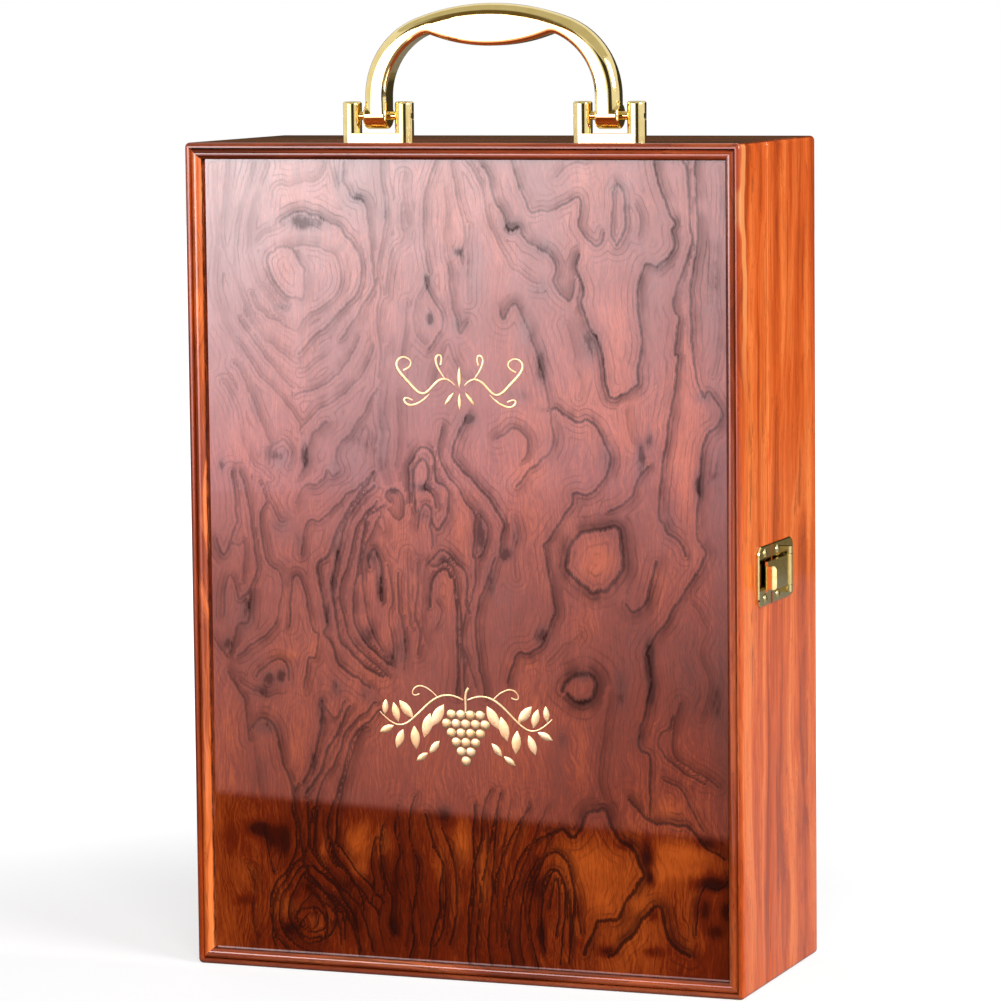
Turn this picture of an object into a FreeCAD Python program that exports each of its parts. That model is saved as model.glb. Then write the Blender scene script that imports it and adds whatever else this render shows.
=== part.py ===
import FreeCAD, Part
import math
import operator
import os
from types import SimpleNamespace

import Sketcher

# Gift box for two wine bottles: a mitred wooden case with a side-hung lid, a bail handle and a hasp.
# Frame: +X right, +Y back, +Z up; the origin is the middle of the footprint, on the floor.

# Driving dimensions in millimetres: alias, value, what it measures.
SIZES = (
    ("box_width", 245, "closed box, left to right"),
    ("box_depth", 103, "closed box, front to back"),
    ("box_height", 350, "closed box without the handle"),
    ("lid_depth", 36, "front face to the parting plane"),
    ("parting_gap", 0.4, "air between lid and case all round"),
    ("wall", 9, "thickness of the mitred walls"),
    ("corner_round", 2, "rounding of the outer corners, parallel to the depth"),
    ("arris", 0.25, "chamfer along the outer edges of the parting"),
    ("glue_fit", 0.1, "clearance round boards that are let in"),
    ("overrun", 3, "how far cuts run past what they cut"),
    ("back_thick", 5, "back panel"),
    ("back_lap", 4.5, "how far the back panel laps onto the walls"),
    ("front_lip", 2.2, "lid wall left standing outside the bead"),
    ("bead_width", 4.8, "bead frame round the front panel"),
    ("bead_drop", 0.3, "bead crest behind the lid's front edge"),
    ("panel_inset", 4, "front panel behind the lid's front edge"),
    ("panel_thick", 4, "front panel"),
    ("lining_thick", 3, "covered board behind the front panel"),
    ("tray_drop", 3, "tray face behind the rim of the case"),
    ("tray_floor", 4.5, "tray left under a bottle"),
    ("tray_end", 10, "tray left below a bottle's foot"),
    ("bottle_pitch", 112, "between the two bottle axes"),
    ("bottle_radius", 40, "trough for a bottle's body"),
    ("bottle_body", 205, "length of that trough"),
    ("bottle_shoulder", 35, "taper from body to neck"),
    ("neck_radius", 18, "trough for a bottle's neck"),
    ("neck_length", 70, "length of that trough"),
    ("handle_span", 103.8, "between the middles of the handle's legs"),
    ("handle_setback", 43.5, "handle plane behind the front face"),
    ("handle_rise", 57, "crown of the handle above the box"),
    ("handle_spring", 18, "where the legs start to bend, above the box"),
    ("haunch_radius", 35, "outer bend between leg and crown"),
    ("leg_width", 10.5, "leg of the handle, seen from the front"),
    ("handle_depth", 11, "handle, front to back"),
    ("handle_edge", 5, "rounding of the handle's outer edges"),
    ("handle_inner_edge", 2.2, "rounding of the handle's inner edges"),
    ("eye_edge", 1.2, "rounded rims of the round eyes at the legs' ends"),
    ("notch_span", 56, "between the two finger notches"),
    ("notch_rise", 44.5, "top of the finger notches above the box"),
    ("notch_round", 5, "rounding of the notches"),
    ("belly_rise", 39.2, "lowest point of the grip above the box"),
    ("pivot_rise", 10, "handle pins above the box"),
    ("pivot_radius", 1.8, "handle pins"),
    ("pin_fit", 0.02, "radial clearance of a pin in what holds it"),
    ("running_fit", 0.08, "radial clearance of what turns on a pin"),
    ("pin_setback", 0.4, "handle pin's ends inside the posts"),
    ("post_radius", 4, "round posts of a handle bracket"),
    ("post_pitch", 23.7, "between the two posts of a bracket"),
    ("post_height", 16, "bracket above the box"),
    ("post_edge", 1, "rounding of the posts' tops"),
    ("foot_thick", 2.5, "bar between the posts"),
    ("bolt_radius", 1.5, "bolts that hold the brackets"),
    ("bolt_reach", 6, "how far a bolt enters its post"),
    ("bolt_head_radius", 2.9, "bolt head"),
    ("bolt_head_height", 2, "bolt head"),
    ("bolt_recess", 2.6, "counterbore for the head in the top wall"),
    ("bolt_fit", 0.2, "radial clearance round bolts and their heads"),
    ("hinge_height", 32, "one hinge, along its pin"),
    ("hinge_inset", 72, "middle of a hinge from the end of the box"),
    ("leaf_width", 15, "hinge leaf from the parting plane"),
    ("leaf_thick", 1.2, "hinge leaf"),
    ("barrel_radius", 2.3, "hinge knuckles"),
    ("barrel_air", 0.2, "between the knuckles and what turns past them"),
    ("hinge_pin_radius", 1.1, "hinge pin"),
    ("hinge_screw_pitch", 19, "between the two screws of a leaf"),
    ("screw_radius", 1.1, "wood screws"),
    ("screw_length", 7, "wood screw below its head"),
    ("screw_point", 2, "tapered end of a wood screw"),
    ("screw_head_radius", 2, "domed head of a wood screw"),
    ("screw_head_height", 0.9, "domed head of a wood screw"),
    ("screw_cross_length", 2.2, "cross recess of a screw head"),
    ("screw_cross_width", 0.5, "cross recess of a screw head"),
    ("screw_cross_depth", 0.5, "cross recess of a screw head"),
    ("screw_fit", 0.1, "radial clearance round a wood screw"),
    ("latch_height", 172, "middle of the latch above the floor"),
    ("latch_tall", 25, "latch plates"),
    ("plate_thick", 1.2, "latch plates"),
    ("plate_bevel", 0.5, "bevelled rim of the latch plates"),
    ("plate_corner", 4, "rounded corners of the latch plates"),
    ("plate_setback", 0.7, "latch plates from the edges of the parting"),
    ("catch_length", 16, "catch plate on the lid"),
    ("base_length", 29, "base plate on the case"),
    ("latch_screw_pitch", 18.6, "between the two screws of a latch plate"),
    ("base_screw_place", 7, "base plate's screws from its front edge"),
    ("ridge_place", 6, "catch ridge from the rear edge of the catch plate"),
    ("ridge_length", 9, "catch ridge"),
    ("ridge_radius", 0.9, "catch ridge"),
    ("hasp_width", 12.6, "tongue of the hasp"),
    ("hasp_thick", 1.2, "tongue of the hasp"),
    ("hasp_pin_place", 16.5, "hasp pin from the front edge of the base plate"),
    ("hasp_pin_radius", 0.8, "hasp pin"),
    ("hasp_barrel_radius", 1.7, "knuckles round the hasp pin"),
    ("hasp_air", 0.25, "between the hasp and what it turns past"),
    ("lug_width", 3, "fixed knuckle beside the hasp"),
    ("bill_place", 21, "front of the hasp's bill behind the front face"),
    ("bill_bend", 1, "inner radius of the bend at the bill"),
    ("bill_reach", 8.2, "tip of the bill from the side of the box"),
    ("bill_width", 9.6, "bill of the hasp"),
    ("bill_corner", 1.5, "rounded corners of the bill"),
)
KNUCKLES = 5
corner_share = 1 - math.sqrt(0.5)
edge_share = 0.8
outer_round_share = 0.46
inner_round_share = 0.3
rest_share = 0.9
haunch_share = 0.9
bend_share = 0.62
bill_corner_share = 0.57
near_share = 1e-6

OPERATIONS = {"+": operator.add, "-": operator.sub, "*": operator.mul, "/": operator.truediv}


class Term:
    """A length worked out from the sheet: the expression that binds it and its value now."""

    def __init__(self, text, value):
        self.text = text
        self.value = value

    def __add__(self, other):
        return joined(self, "+", other)

    def __radd__(self, other):
        return joined(other, "+", self)

    def __sub__(self, other):
        return joined(self, "-", other)

    def __rsub__(self, other):
        return joined(other, "-", self)

    def __mul__(self, other):
        return joined(self, "*", other)

    def __truediv__(self, other):
        return joined(self, "/", other)

    def __neg__(self):
        return joined(0, "-", self)


def term(value):
    return value if isinstance(value, Term) else Term(repr(value), value)


def joined(first, sign, second):
    first = term(first)
    second = term(second)
    return Term(f"({first.text} {sign} {second.text})", OPERATIONS[sign](first.value, second.value))


def root(square):
    return Term(f"sqrt({square.text})", math.sqrt(square.value))


def smaller(first, second):
    return Term(f"min({first.text}; {second.text})", min(first.value, second.value))


class Arc:
    """Step of an outline: an arc to end about centre, the short way round or through a given point."""

    def __init__(self, end, centre, through=None):
        self.end = end
        self.centre = centre
        self.through = through


class Circle:
    """A whole circle as an outline of its own."""

    def __init__(self, centre, radius):
        self.centre = centre
        self.radius = radius


doc = FreeCAD.newDocument("wine_box")
sheet = doc.addObject("Spreadsheet::Sheet", "Sizes")
for row, (alias, value, note) in enumerate(SIZES, start=1):
    sheet.set(f"A{row}", note)
    sheet.set(f"B{row}", str(value))
    sheet.setAlias(f"B{row}", alias)
doc.recompute()
s = SimpleNamespace(**{alias: Term(f"Sizes.{alias}", float(sheet.get(alias))) for alias, _, _ in SIZES})

nodes = []
pockets = []


def bind(thing, name, length):
    thing.setExpression(name, term(length).text)


def named(thing, label):
    """Hand a finished piece over as a node of the part."""
    thing.Label = label
    nodes.append(thing)
    return thing


# Outlines and features


def flat(point):
    return FreeCAD.Vector(term(point[0]).value, term(point[1]).value, 0)


def fix_point(sketch, geometry, position, point, axes="XY"):
    for axis, length in zip("XY", point):
        if axis in axes:
            value = term(length).value
            index = sketch.addConstraint(
                Sketcher.Constraint(f"Distance{axis}", -1, 1, geometry, position, value))
            sketch.setExpression(f"Constraints[{index}]", term(length).text)


def add_arc(sketch, start, step):
    """Add an arc and return its geometry number with the positions of its first and last point."""
    first = flat(start) - flat(step.centre)
    last = flat(step.end) - flat(step.centre)
    middle = last if step.through is None else flat(step.through) - flat(step.centre)
    leftward = first.cross(middle).z > 0
    begin, finish = (first, last) if leftward else (last, first)
    from_angle = math.atan2(begin.y, begin.x)
    to_angle = math.atan2(finish.y, finish.x)
    if to_angle <= from_angle:
        to_angle += 2 * math.pi
    circle = Part.Circle(flat(step.centre), FreeCAD.Vector(0, 0, 1), first.Length)
    number = sketch.addGeometry(Part.ArcOfCircle(circle, from_angle, to_angle))
    return (number, 1, 2) if leftward else (number, 2, 1)


def draw_outline(sketch, steps):
    """Draw a closed outline whose corners and arc centres are all bound to the sheet."""
    start = steps[0]
    here = start
    edges = []
    close = [] if isinstance(steps[-1], Arc) and steps[-1].end is start else [start]
    for step in steps[1:] + close:
        if isinstance(step, Arc):
            edges.append((here, step) + add_arc(sketch, here, step))
            here = step.end
        else:
            number = sketch.addGeometry(Part.LineSegment(flat(here), flat(step)))
            edges.append((here, step, number, 1, 2))
            here = step
    for (_, _, number, _, last), (_, _, following, first, _) in zip(edges, edges[1:] + edges[:1]):
        sketch.addConstraint(Sketcher.Constraint("Coincident", number, last, following, first))
    for corner, step, number, first, _ in edges:
        fix_point(sketch, number, first, corner)
        if isinstance(step, Arc):
            chord = flat(step.end) - flat(corner)
            fix_point(sketch, number, 3, step.centre, "Y" if abs(chord.x) > abs(chord.y) else "X")


def draw_circle(sketch, circle):
    shape = Part.Circle(flat(circle.centre), FreeCAD.Vector(0, 0, 1), circle.radius.value)
    number = sketch.addGeometry(shape)
    fix_point(sketch, number, 3, circle.centre)
    index = sketch.addConstraint(Sketcher.Constraint("Radius", number, circle.radius.value))
    sketch.setExpression(f"Constraints[{index}]", circle.radius.text)


def sketch_on(body, plane, offset, shapes):
    sketch = body.newObject("Sketcher::SketchObject", "outline")
    support = next(item for item in body.Origin.OriginFeatures if item.Role == plane)
    sketch.AttachmentSupport = (support, [""])
    sketch.MapMode = "FlatFace"
    bind(sketch, "AttachmentOffset.Base.z", offset)
    for shape in shapes:
        if isinstance(shape, Circle):
            draw_circle(sketch, shape)
        else:
            draw_outline(sketch, shape)
    return sketch


def new_body(name):
    return doc.addObject("PartDesign::Body", name)


def pad(body, plane, low, high, *shapes):
    """Fill the outlines between two places along the plane's axis; an XZ sketch faces -Y."""
    offset = -high if plane == "XZ_Plane" else low
    feature = body.newObject("PartDesign::Pad", "pad")
    feature.Profile = sketch_on(body, plane, offset, shapes)
    bind(feature, "Length", high - low)
    body.Tip = feature
    return feature


def pocket(body, plane, low, high, *shapes):
    """Cut the outlines away between two places along the plane's axis."""
    offset = -low if plane == "XZ_Plane" else high
    feature = body.newObject("PartDesign::Pocket", "pocket")
    feature.Profile = sketch_on(body, plane, offset, shapes)
    bind(feature, "Length", high - low)
    body.Tip = feature
    pockets.append(feature)
    return feature


def revolve(body, sketch, axis):
    """Turn a sketch's outline about one of its axes."""
    feature = body.newObject("PartDesign::Revolution", "turned")
    feature.Profile = sketch
    feature.ReferenceAxis = (sketch, [axis])
    feature.Angle = 360
    body.Tip = feature


def dress_edges(body, kind, property_name, length, chosen):
    """Fillet or chamfer the edges that the chosen test picks."""
    doc.recompute()
    base = body.Tip
    picked = [f"Edge{number}" for number, edge in enumerate(base.Shape.Edges, start=1) if chosen(edge)]
    feature = body.newObject(f"PartDesign::{kind}", kind.lower())
    feature.Base = (base, picked)
    bind(feature, property_name, length)
    body.Tip = feature


def fillet(body, radius, chosen):
    dress_edges(body, "Fillet", "Radius", radius, chosen)


def chamfer(body, size, chosen):
    dress_edges(body, "Chamfer", "Size", size, chosen)


near = s.box_width.value * near_share


def lies_at(low, high, place):
    return abs(low - place.value) < near and abs(high - place.value) < near


def rectangle(low_u, high_u, low_v, high_v):
    return [(low_u, low_v), (high_u, low_v), (high_u, high_v), (low_u, high_v)]


def slab(label, x, y, z):
    """A plain board between two corners, each axis given as (low, high)."""
    board = doc.addObject("Part::Box", label)
    for name, axis, (low, high) in zip(("Length", "Width", "Height"), "xyz", (x, y, z)):
        bind(board, name, high - low)
        bind(board, f"Placement.Base.{axis}", low)
    return named(board, label)


def rod(label, direction, radius, length, x, y, z):
    """A round pin from a point along +X or +Z."""
    pin = doc.addObject("Part::Cylinder", label)
    pin.Placement.Rotation = FreeCAD.Rotation(FreeCAD.Vector(0, 0, 1), direction)
    bind(pin, "Radius", radius)
    bind(pin, "Height", length)
    for axis, place in zip("xyz", (x, y, z)):
        bind(pin, f"Placement.Base.{axis}", place)
    return named(pin, label)


def group(label, master, turn, places):
    """Copies of one fastener, turned alike, as separate solids of one node."""
    copies = []
    for place in places:
        copy = doc.addObject("App::Link", f"{label}_copy")
        copy.LinkedObject = master
        copy.Placement.Rotation = turn
        for axis, length in zip("xyz", place):
            bind(copy, f"Placement.Base.{axis}", length)
        copies.append(copy)
    bundle = doc.addObject("Part::Compound", label)
    bundle.Links = copies
    return named(bundle, label)


# Main planes of the box
side = s.box_width / 2
front = -s.box_depth / 2
back = s.box_depth / 2
top = s.box_height
parting = front + s.lid_depth
case_front = parting + s.parting_gap / 2
lid_back = parting - s.parting_gap / 2
edge_round = s.corner_round * edge_share
panel_front = front + s.panel_inset
panel_back = panel_front + s.panel_thick
back_inside = back - s.back_thick


def on_side(name, along, inward):
    """A point on one wall in the front view: along it from its middle, inward from its outer face."""
    if name == "bottom":
        return along, term(inward)
    if name == "right":
        return side - inward, top / 2 + along
    if name == "top":
        return -along, top - inward
    return inward - side, top / 2 - along


def half_length(name):
    return side if name in ("top", "bottom") else top / 2


def mitred_outline(name):
    """A wall in the front view: mitred ends and half of the rounding at each outer corner."""
    end = half_length(name)
    dip = s.corner_round * corner_share
    start = on_side(name, s.corner_round - end, 0)
    return [
        start,
        on_side(name, end - s.corner_round, 0),
        Arc(on_side(name, end - dip, dip), on_side(name, end - s.corner_round, s.corner_round)),
        on_side(name, end - s.wall, s.wall),
        on_side(name, s.wall - end, s.wall),
        on_side(name, dip - end, dip),
        Arc(start, on_side(name, s.corner_round - end, s.corner_round)),
    ]


def wall_strip(name, low, high):
    """A strip along one wall, between two depths from its outer face."""
    end = half_length(name) + s.overrun
    return [on_side(name, -end, low), on_side(name, end, low),
            on_side(name, end, high), on_side(name, -end, high)]


def outer_edge_at(name, depth_place):
    """Test for the long outer edge of a wall at one depth of the box."""
    middle = on_side(name, term(0), 0)
    upright = name in ("left", "right")

    def chosen(edge):
        box = edge.BoundBox
        across = (box.XMin, box.XMax) if upright else (box.ZMin, box.ZMax)
        return lies_at(box.YMin, box.YMax, depth_place) and lies_at(*across, middle[0 if upright else 1])

    return chosen


# Places of the hardware on the walls
hinge_heights = {"lower": s.hinge_inset, "upper": top - s.hinge_inset}
hinge_x = -side - s.barrel_radius - s.barrel_air
leaf_screw_out = (s.leaf_width + s.barrel_radius + s.barrel_air) / 2
pilot_radius = s.screw_radius + s.screw_fit
pilot_depth = s.screw_length + s.screw_fit - s.leaf_thick
latch_pilot_depth = s.screw_length + s.screw_fit - s.plate_thick
catch_back = lid_back - s.plate_setback
catch_front = catch_back - s.catch_length
base_front = case_front + s.plate_setback
base_screw_y = base_front + s.base_screw_place
catch_screw_y = catch_front + s.catch_length / 2
latch_screw_heights = [s.latch_height + offset
                       for offset in (-s.latch_screw_pitch / 2, s.latch_screw_pitch / 2)]
handle_y = front + s.handle_setback
bracket_x = {"left": -s.handle_span / 2, "right": s.handle_span / 2}
bolt_x = [middle + offset for middle in bracket_x.values()
          for offset in (-s.post_pitch / 2, s.post_pitch / 2)]


def leaf_screw_places(y):
    return [(y, height + offset) for height in hinge_heights.values()
            for offset in (-s.hinge_screw_pitch / 2, s.hinge_screw_pitch / 2)]


def side_holes(body, name, depth, places):
    """Pilot holes from the outer face of the left or right wall."""
    circles = [Circle(place, pilot_radius) for place in places]
    if name == "left":
        pocket(body, "YZ_Plane", -side, depth - side, *circles)
    else:
        pocket(body, "YZ_Plane", side - depth, side, *circles)


# Case: four mitred walls, rebated behind for the back panel
for name in ("bottom", "right", "top", "left"):
    wall = new_body(f"case_{name}_wall")
    pad(wall, "XZ_Plane", case_front, back, mitred_outline(name))
    rebate = wall_strip(name, s.wall - s.back_lap, s.wall + s.overrun)
    pocket(wall, "XZ_Plane", back_inside, back + s.overrun, rebate)
    if name == "left":
        side_holes(wall, name, pilot_depth, leaf_screw_places(parting + leaf_screw_out))
    if name == "right":
        places = [(base_screw_y, height) for height in latch_screw_heights]
        side_holes(wall, name, latch_pilot_depth, places)
    if name == "top":
        shanks = [Circle((x, handle_y), s.bolt_radius + s.bolt_fit) for x in bolt_x]
        heads = [Circle((x, handle_y), s.bolt_head_radius + s.bolt_fit) for x in bolt_x]
        inner_face = top - s.wall
        pocket(wall, "XY_Plane", inner_face, top, *shanks)
        pocket(wall, "XY_Plane", inner_face, inner_face + s.bolt_recess, *heads)
    fillet(wall, edge_round, outer_edge_at(name, back))
    chamfer(wall, s.arris, outer_edge_at(name, case_front))
    named(wall, f"case_{name}_wall")

back_edge = s.wall - s.back_lap + s.glue_fit
slab("back_panel", (back_edge - side, side - back_edge), (back_inside, back), (back_edge, top - back_edge))

# Tray: one covered block with two bottle-shaped troughs, sunk in the case
tray_front = case_front + s.tray_drop
tray_edge = s.wall + s.glue_fit
bottle_y = back_inside - s.tray_floor - s.bottle_radius
foot = tray_edge + s.tray_end
shoulder = foot + s.bottle_body
neck = shoulder + s.bottle_shoulder
mouth = neck + s.neck_length
trough_mouth = tray_front - s.bottle_radius
tray = new_body("bottle_tray")
tray_face = rectangle(tray_edge - side, side - tray_edge, tray_edge, top - tray_edge)
pad(tray, "XZ_Plane", tray_front, back_inside, tray_face)
for bottle_x in (-s.bottle_pitch / 2, s.bottle_pitch / 2):

    def trough_section(radius):
        """A trough seen from its end: half round at the bottom and straight up to its open mouth."""
        return [
            (bottle_x - radius, trough_mouth),
            (bottle_x + radius, trough_mouth),
            (bottle_x + radius, bottle_y),
            Arc((bottle_x - radius, bottle_y), (bottle_x, bottle_y), (bottle_x, bottle_y + radius)),
        ]

    pocket(tray, "XY_Plane", foot, shoulder, trough_section(s.bottle_radius))
    pocket(tray, "XY_Plane", neck, mouth, trough_section(s.neck_radius))
    taper = tray.newObject("PartDesign::SubtractiveLoft", "taper")
    taper.Profile = sketch_on(tray, "XY_Plane", shoulder, [trough_section(s.bottle_radius)])
    taper.Sections = [sketch_on(tray, "XY_Plane", neck, [trough_section(s.neck_radius)])]
    taper.Ruled = True
    tray.Tip = taper
    pockets.append(taper)
named(tray, "bottle_tray")

# Lid: four mitred walls whose front is rebated for the panel and the bead
for name in ("bottom", "right", "top", "left"):
    wall = new_body(f"lid_{name}_wall")
    pad(wall, "XZ_Plane", front, lid_back, mitred_outline(name))
    rebate = wall_strip(name, s.front_lip, s.wall + s.overrun)
    pocket(wall, "XZ_Plane", front - s.overrun, panel_back, rebate)
    if name == "left":
        side_holes(wall, name, pilot_depth, leaf_screw_places(parting - leaf_screw_out))
    if name == "right":
        places = [(catch_screw_y, height) for height in latch_screw_heights]
        side_holes(wall, name, latch_pilot_depth, places)
    fillet(wall, edge_round, outer_edge_at(name, front))
    chamfer(wall, s.arris, outer_edge_at(name, lid_back))
    named(wall, f"lid_{name}_wall")

panel_edge = s.front_lip + s.glue_fit
panel_x = (panel_edge - side, side - panel_edge)
panel_z = (panel_edge, top - panel_edge)
slab("front_panel", panel_x, (panel_front, panel_back), panel_z)

lining_edge = s.wall + s.glue_fit
lining_x = (lining_edge - side, side - lining_edge)
slab("lid_lining", lining_x, (panel_back, panel_back + s.lining_thick), (lining_edge, top - lining_edge))

# Bead: four half-round sticks, mitred, that hold the panel in its rebate
bead_outer = panel_edge
bead_inner = s.front_lip + s.bead_width
bead_radius = (bead_inner - bead_outer) / 2
bead_shoulder = front + s.bead_drop + bead_radius
for name in ("bottom", "right", "top", "left"):
    upright = name in ("left", "right")

    def section(inward, y):
        """A point of the stick's cross section: inward from the wall's outer face, at one depth."""
        across = on_side(name, term(0), inward)
        return (across[0], y) if upright else (y, across[1])

    outline = [
        section(bead_outer, panel_front),
        section(bead_inner, panel_front),
        section(bead_inner, bead_shoulder),
        Arc(section(bead_outer, bead_shoulder), section(bead_outer + bead_radius, bead_shoulder),
            section(bead_outer + bead_radius, bead_shoulder - bead_radius)),
    ]
    end = half_length(name)
    middle = top / 2 if upright else term(0)
    stick = new_body(f"bead_{name}")
    pad(stick, "XY_Plane" if upright else "YZ_Plane", middle - end, middle + end, outline)
    tip = bead_inner + s.overrun
    for sign in (-1, 1):
        mitre = [
            on_side(name, (-s.overrun - end) * -sign, -s.overrun),
            on_side(name, (tip - end) * -sign, tip),
            on_side(name, (-s.overrun - end) * -sign, tip),
        ]
        pocket(stick, "XZ_Plane", front - s.overrun, panel_front + s.overrun, mitre)
    named(stick, f"bead_{name}")

# Handle: a cast bail with a thick grip, rounded all over, a round eye at each leg's end bored for the pin
pivot_z = top + s.pivot_rise
spring_z = top + s.handle_spring
crown_z = top + s.handle_rise
notch_z = top + s.notch_rise
belly_z = top + s.belly_rise
leg_x = s.handle_span / 2
leg_outer = leg_x + s.leg_width / 2
leg_inner = leg_x - s.leg_width / 2
notch_x = s.notch_span / 2
rise = s.handle_rise - s.handle_spring
haunch = smaller(s.haunch_radius, rise * haunch_share)
haunch_x = leg_outer - haunch
crown_radius = (haunch_x * haunch_x + rise * rise - haunch * haunch) / ((rise - haunch) * 2)
crown_centre = crown_z - crown_radius
tangent_share = crown_radius / (crown_radius - haunch)
tangent_x = haunch_x * tangent_share
tangent_z = crown_centre + (spring_z - crown_centre) * tangent_share
inner_run = leg_inner - notch_x
inner_rise = notch_z - spring_z
inner_radius = (inner_run * inner_run + inner_rise * inner_rise) / (inner_run * 2)
belly_sag = notch_z - belly_z
belly_radius = (notch_x * notch_x + belly_sag * belly_sag) / (belly_sag * 2)
handle_front = handle_y - s.handle_depth / 2
handle_back = handle_y + s.handle_depth / 2
handle = new_body("carry_handle")
pad(handle, "XZ_Plane", handle_front, handle_back, [
    (leg_outer, pivot_z),
    (leg_outer, spring_z),
    Arc((tangent_x, tangent_z), (haunch_x, spring_z)),
    Arc((-tangent_x, tangent_z), (term(0), crown_centre)),
    Arc((-leg_outer, spring_z), (-haunch_x, spring_z)),
    (-leg_outer, pivot_z),
    (-leg_inner, pivot_z),
    (-leg_inner, spring_z),
    Arc((-notch_x, notch_z), (inner_radius - leg_inner, spring_z)),
    Arc((notch_x, notch_z), (term(0), belly_z + belly_radius)),
    Arc((leg_inner, spring_z), (leg_inner - inner_radius, spring_z)),
    (leg_inner, pivot_z),
])
notch_places = (notch_x, -notch_x)
fillet(handle, s.notch_round, lambda edge: lies_at(edge.BoundBox.ZMin, edge.BoundBox.ZMax, notch_z)
       and any(lies_at(edge.BoundBox.XMin, edge.BoundBox.XMax, place) for place in notch_places))


def rim(leg_side, *arcs):
    """Test for the edges along one rim of the handle: down the legs and along the arcs."""

    def chosen(edge):
        box = edge.BoundBox
        middle = edge.valueAt((edge.FirstParameter + edge.LastParameter) / 2)
        out = abs(middle.x)
        reaches = [(out, leg_side)]
        reaches += [(math.hypot(out - x.value, middle.z - z.value), radius) for x, z, radius in arcs]
        level = any(lies_at(box.YMin, box.YMax, place) for place in (handle_front, handle_back))
        return level and any(lies_at(reach, reach, place) for reach, place in reaches)

    return chosen


notch_wall = crown_radius - root(notch_x * notch_x + (notch_z - crown_centre) * (notch_z - crown_centre))
inner_edge = smaller(s.handle_inner_edge, notch_wall * inner_round_share)
outer_room = smaller(s.handle_depth * outer_round_share, (notch_wall - inner_edge) * rest_share)
crown_arc = (term(0), crown_centre, crown_radius)
haunch_arc = (haunch_x, spring_z, haunch)
fillet(handle, smaller(s.handle_edge, outer_room), rim(leg_outer, haunch_arc, crown_arc))
inner_arc = (leg_inner - inner_radius, spring_z, inner_radius)
belly_arc = (term(0), belly_z + belly_radius, belly_radius)
fillet(handle, inner_edge, rim(leg_inner, inner_arc, belly_arc))
eye_radius = s.handle_depth / 2
eye_flat = eye_radius - s.eye_edge
for low, high in ((leg_inner, leg_outer), (-leg_outer, -leg_inner)):
    profile = sketch_on(handle, "XZ_Plane", -handle_y, [[
        (low, term(0)),
        (low, eye_flat),
        Arc((low + s.eye_edge, eye_radius), (low + s.eye_edge, eye_flat)),
        (high - s.eye_edge, eye_radius),
        Arc((high, eye_flat), (high - s.eye_edge, eye_flat)),
        (high, term(0)),
    ]])
    bind(profile, "AttachmentOffset.Base.y", pivot_z)
    revolve(handle, profile, "H_Axis")
bore = Circle((handle_y, pivot_z), s.pivot_radius + s.running_fit)
pocket(handle, "YZ_Plane", -leg_outer - s.overrun, leg_outer + s.overrun, bore)
named(handle, "carry_handle")

# Handle brackets: two round posts on a bar, bored for the pin and tapped from below for the bolts
post_top = top + s.post_height
bracket_half = s.post_pitch / 2 + s.post_radius
for name, middle in bracket_x.items():
    bracket = new_body(f"handle_bracket_{name}")
    left_post = (middle - s.post_pitch / 2, handle_y)
    right_post = (middle + s.post_pitch / 2, handle_y)
    start = (left_post[0], handle_y - s.post_radius)
    pad(bracket, "XY_Plane", top, top + s.foot_thick, [
        start,
        (right_post[0], handle_y - s.post_radius),
        Arc((right_post[0], handle_y + s.post_radius), right_post,
            (right_post[0] + s.post_radius, handle_y)),
        (left_post[0], handle_y + s.post_radius),
        Arc(start, left_post, (left_post[0] - s.post_radius, handle_y)),
    ])
    pad(bracket, "XY_Plane", top, post_top,
        *[Circle(post, s.post_radius) for post in (left_post, right_post)])
    fillet(bracket, s.post_edge, lambda edge: lies_at(edge.BoundBox.ZMin, edge.BoundBox.ZMax, post_top))
    pocket(bracket, "YZ_Plane", middle - bracket_half - s.overrun, middle + bracket_half + s.overrun,
           Circle((handle_y, pivot_z), s.pivot_radius + s.pin_fit))
    pocket(bracket, "XY_Plane", top, top + s.bolt_reach + s.bolt_fit,
           *[Circle(post, s.bolt_radius + s.pin_fit) for post in (left_post, right_post)])
    named(bracket, f"handle_bracket_{name}")
    pin_half = bracket_half - s.pin_setback
    rod(f"handle_pin_{name}", FreeCAD.Vector(1, 0, 0), s.pivot_radius, pin_half * 2,
        middle - pin_half, handle_y, pivot_z)

# Bolts: screwed up into the posts from inside, heads sunk in the top wall
bolt = new_body("bolt_master")
pad(bolt, "XY_Plane", -s.bolt_head_height, term(0), Circle((term(0), term(0)), s.bolt_head_radius))
bolt_length = s.wall - s.bolt_recess + s.bolt_reach
pad(bolt, "XY_Plane", term(0), bolt_length, Circle((term(0), term(0)), s.bolt_radius))
group("bracket_bolts", bolt, FreeCAD.Rotation(),
      [(x, handle_y, top - s.wall + s.bolt_recess) for x in bolt_x])

# Wood screw: domed head with a cross recess, straight shank and a tapered point; head up, its seat at zero
screw = new_body("screw_master")
dome_radius = ((s.screw_head_radius * s.screw_head_radius + s.screw_head_height * s.screw_head_height)
               / (s.screw_head_height * 2))
profile = sketch_on(screw, "XZ_Plane", term(0), [[
    (term(0), -s.screw_length),
    (s.screw_radius, s.screw_point - s.screw_length),
    (s.screw_radius, term(0)),
    (s.screw_head_radius, term(0)),
    Arc((term(0), s.screw_head_height), (term(0), s.screw_head_height - dome_radius)),
]])
revolve(screw, profile, "V_Axis")
long_half = s.screw_cross_length / 2
slim_half = s.screw_cross_width / 2
for half_u, half_v in ((long_half, slim_half), (slim_half, long_half)):
    pocket(screw, "XY_Plane", s.screw_head_height - s.screw_cross_depth, s.screw_head_height + s.overrun,
           rectangle(-half_u, half_u, -half_v, half_v))

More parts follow.
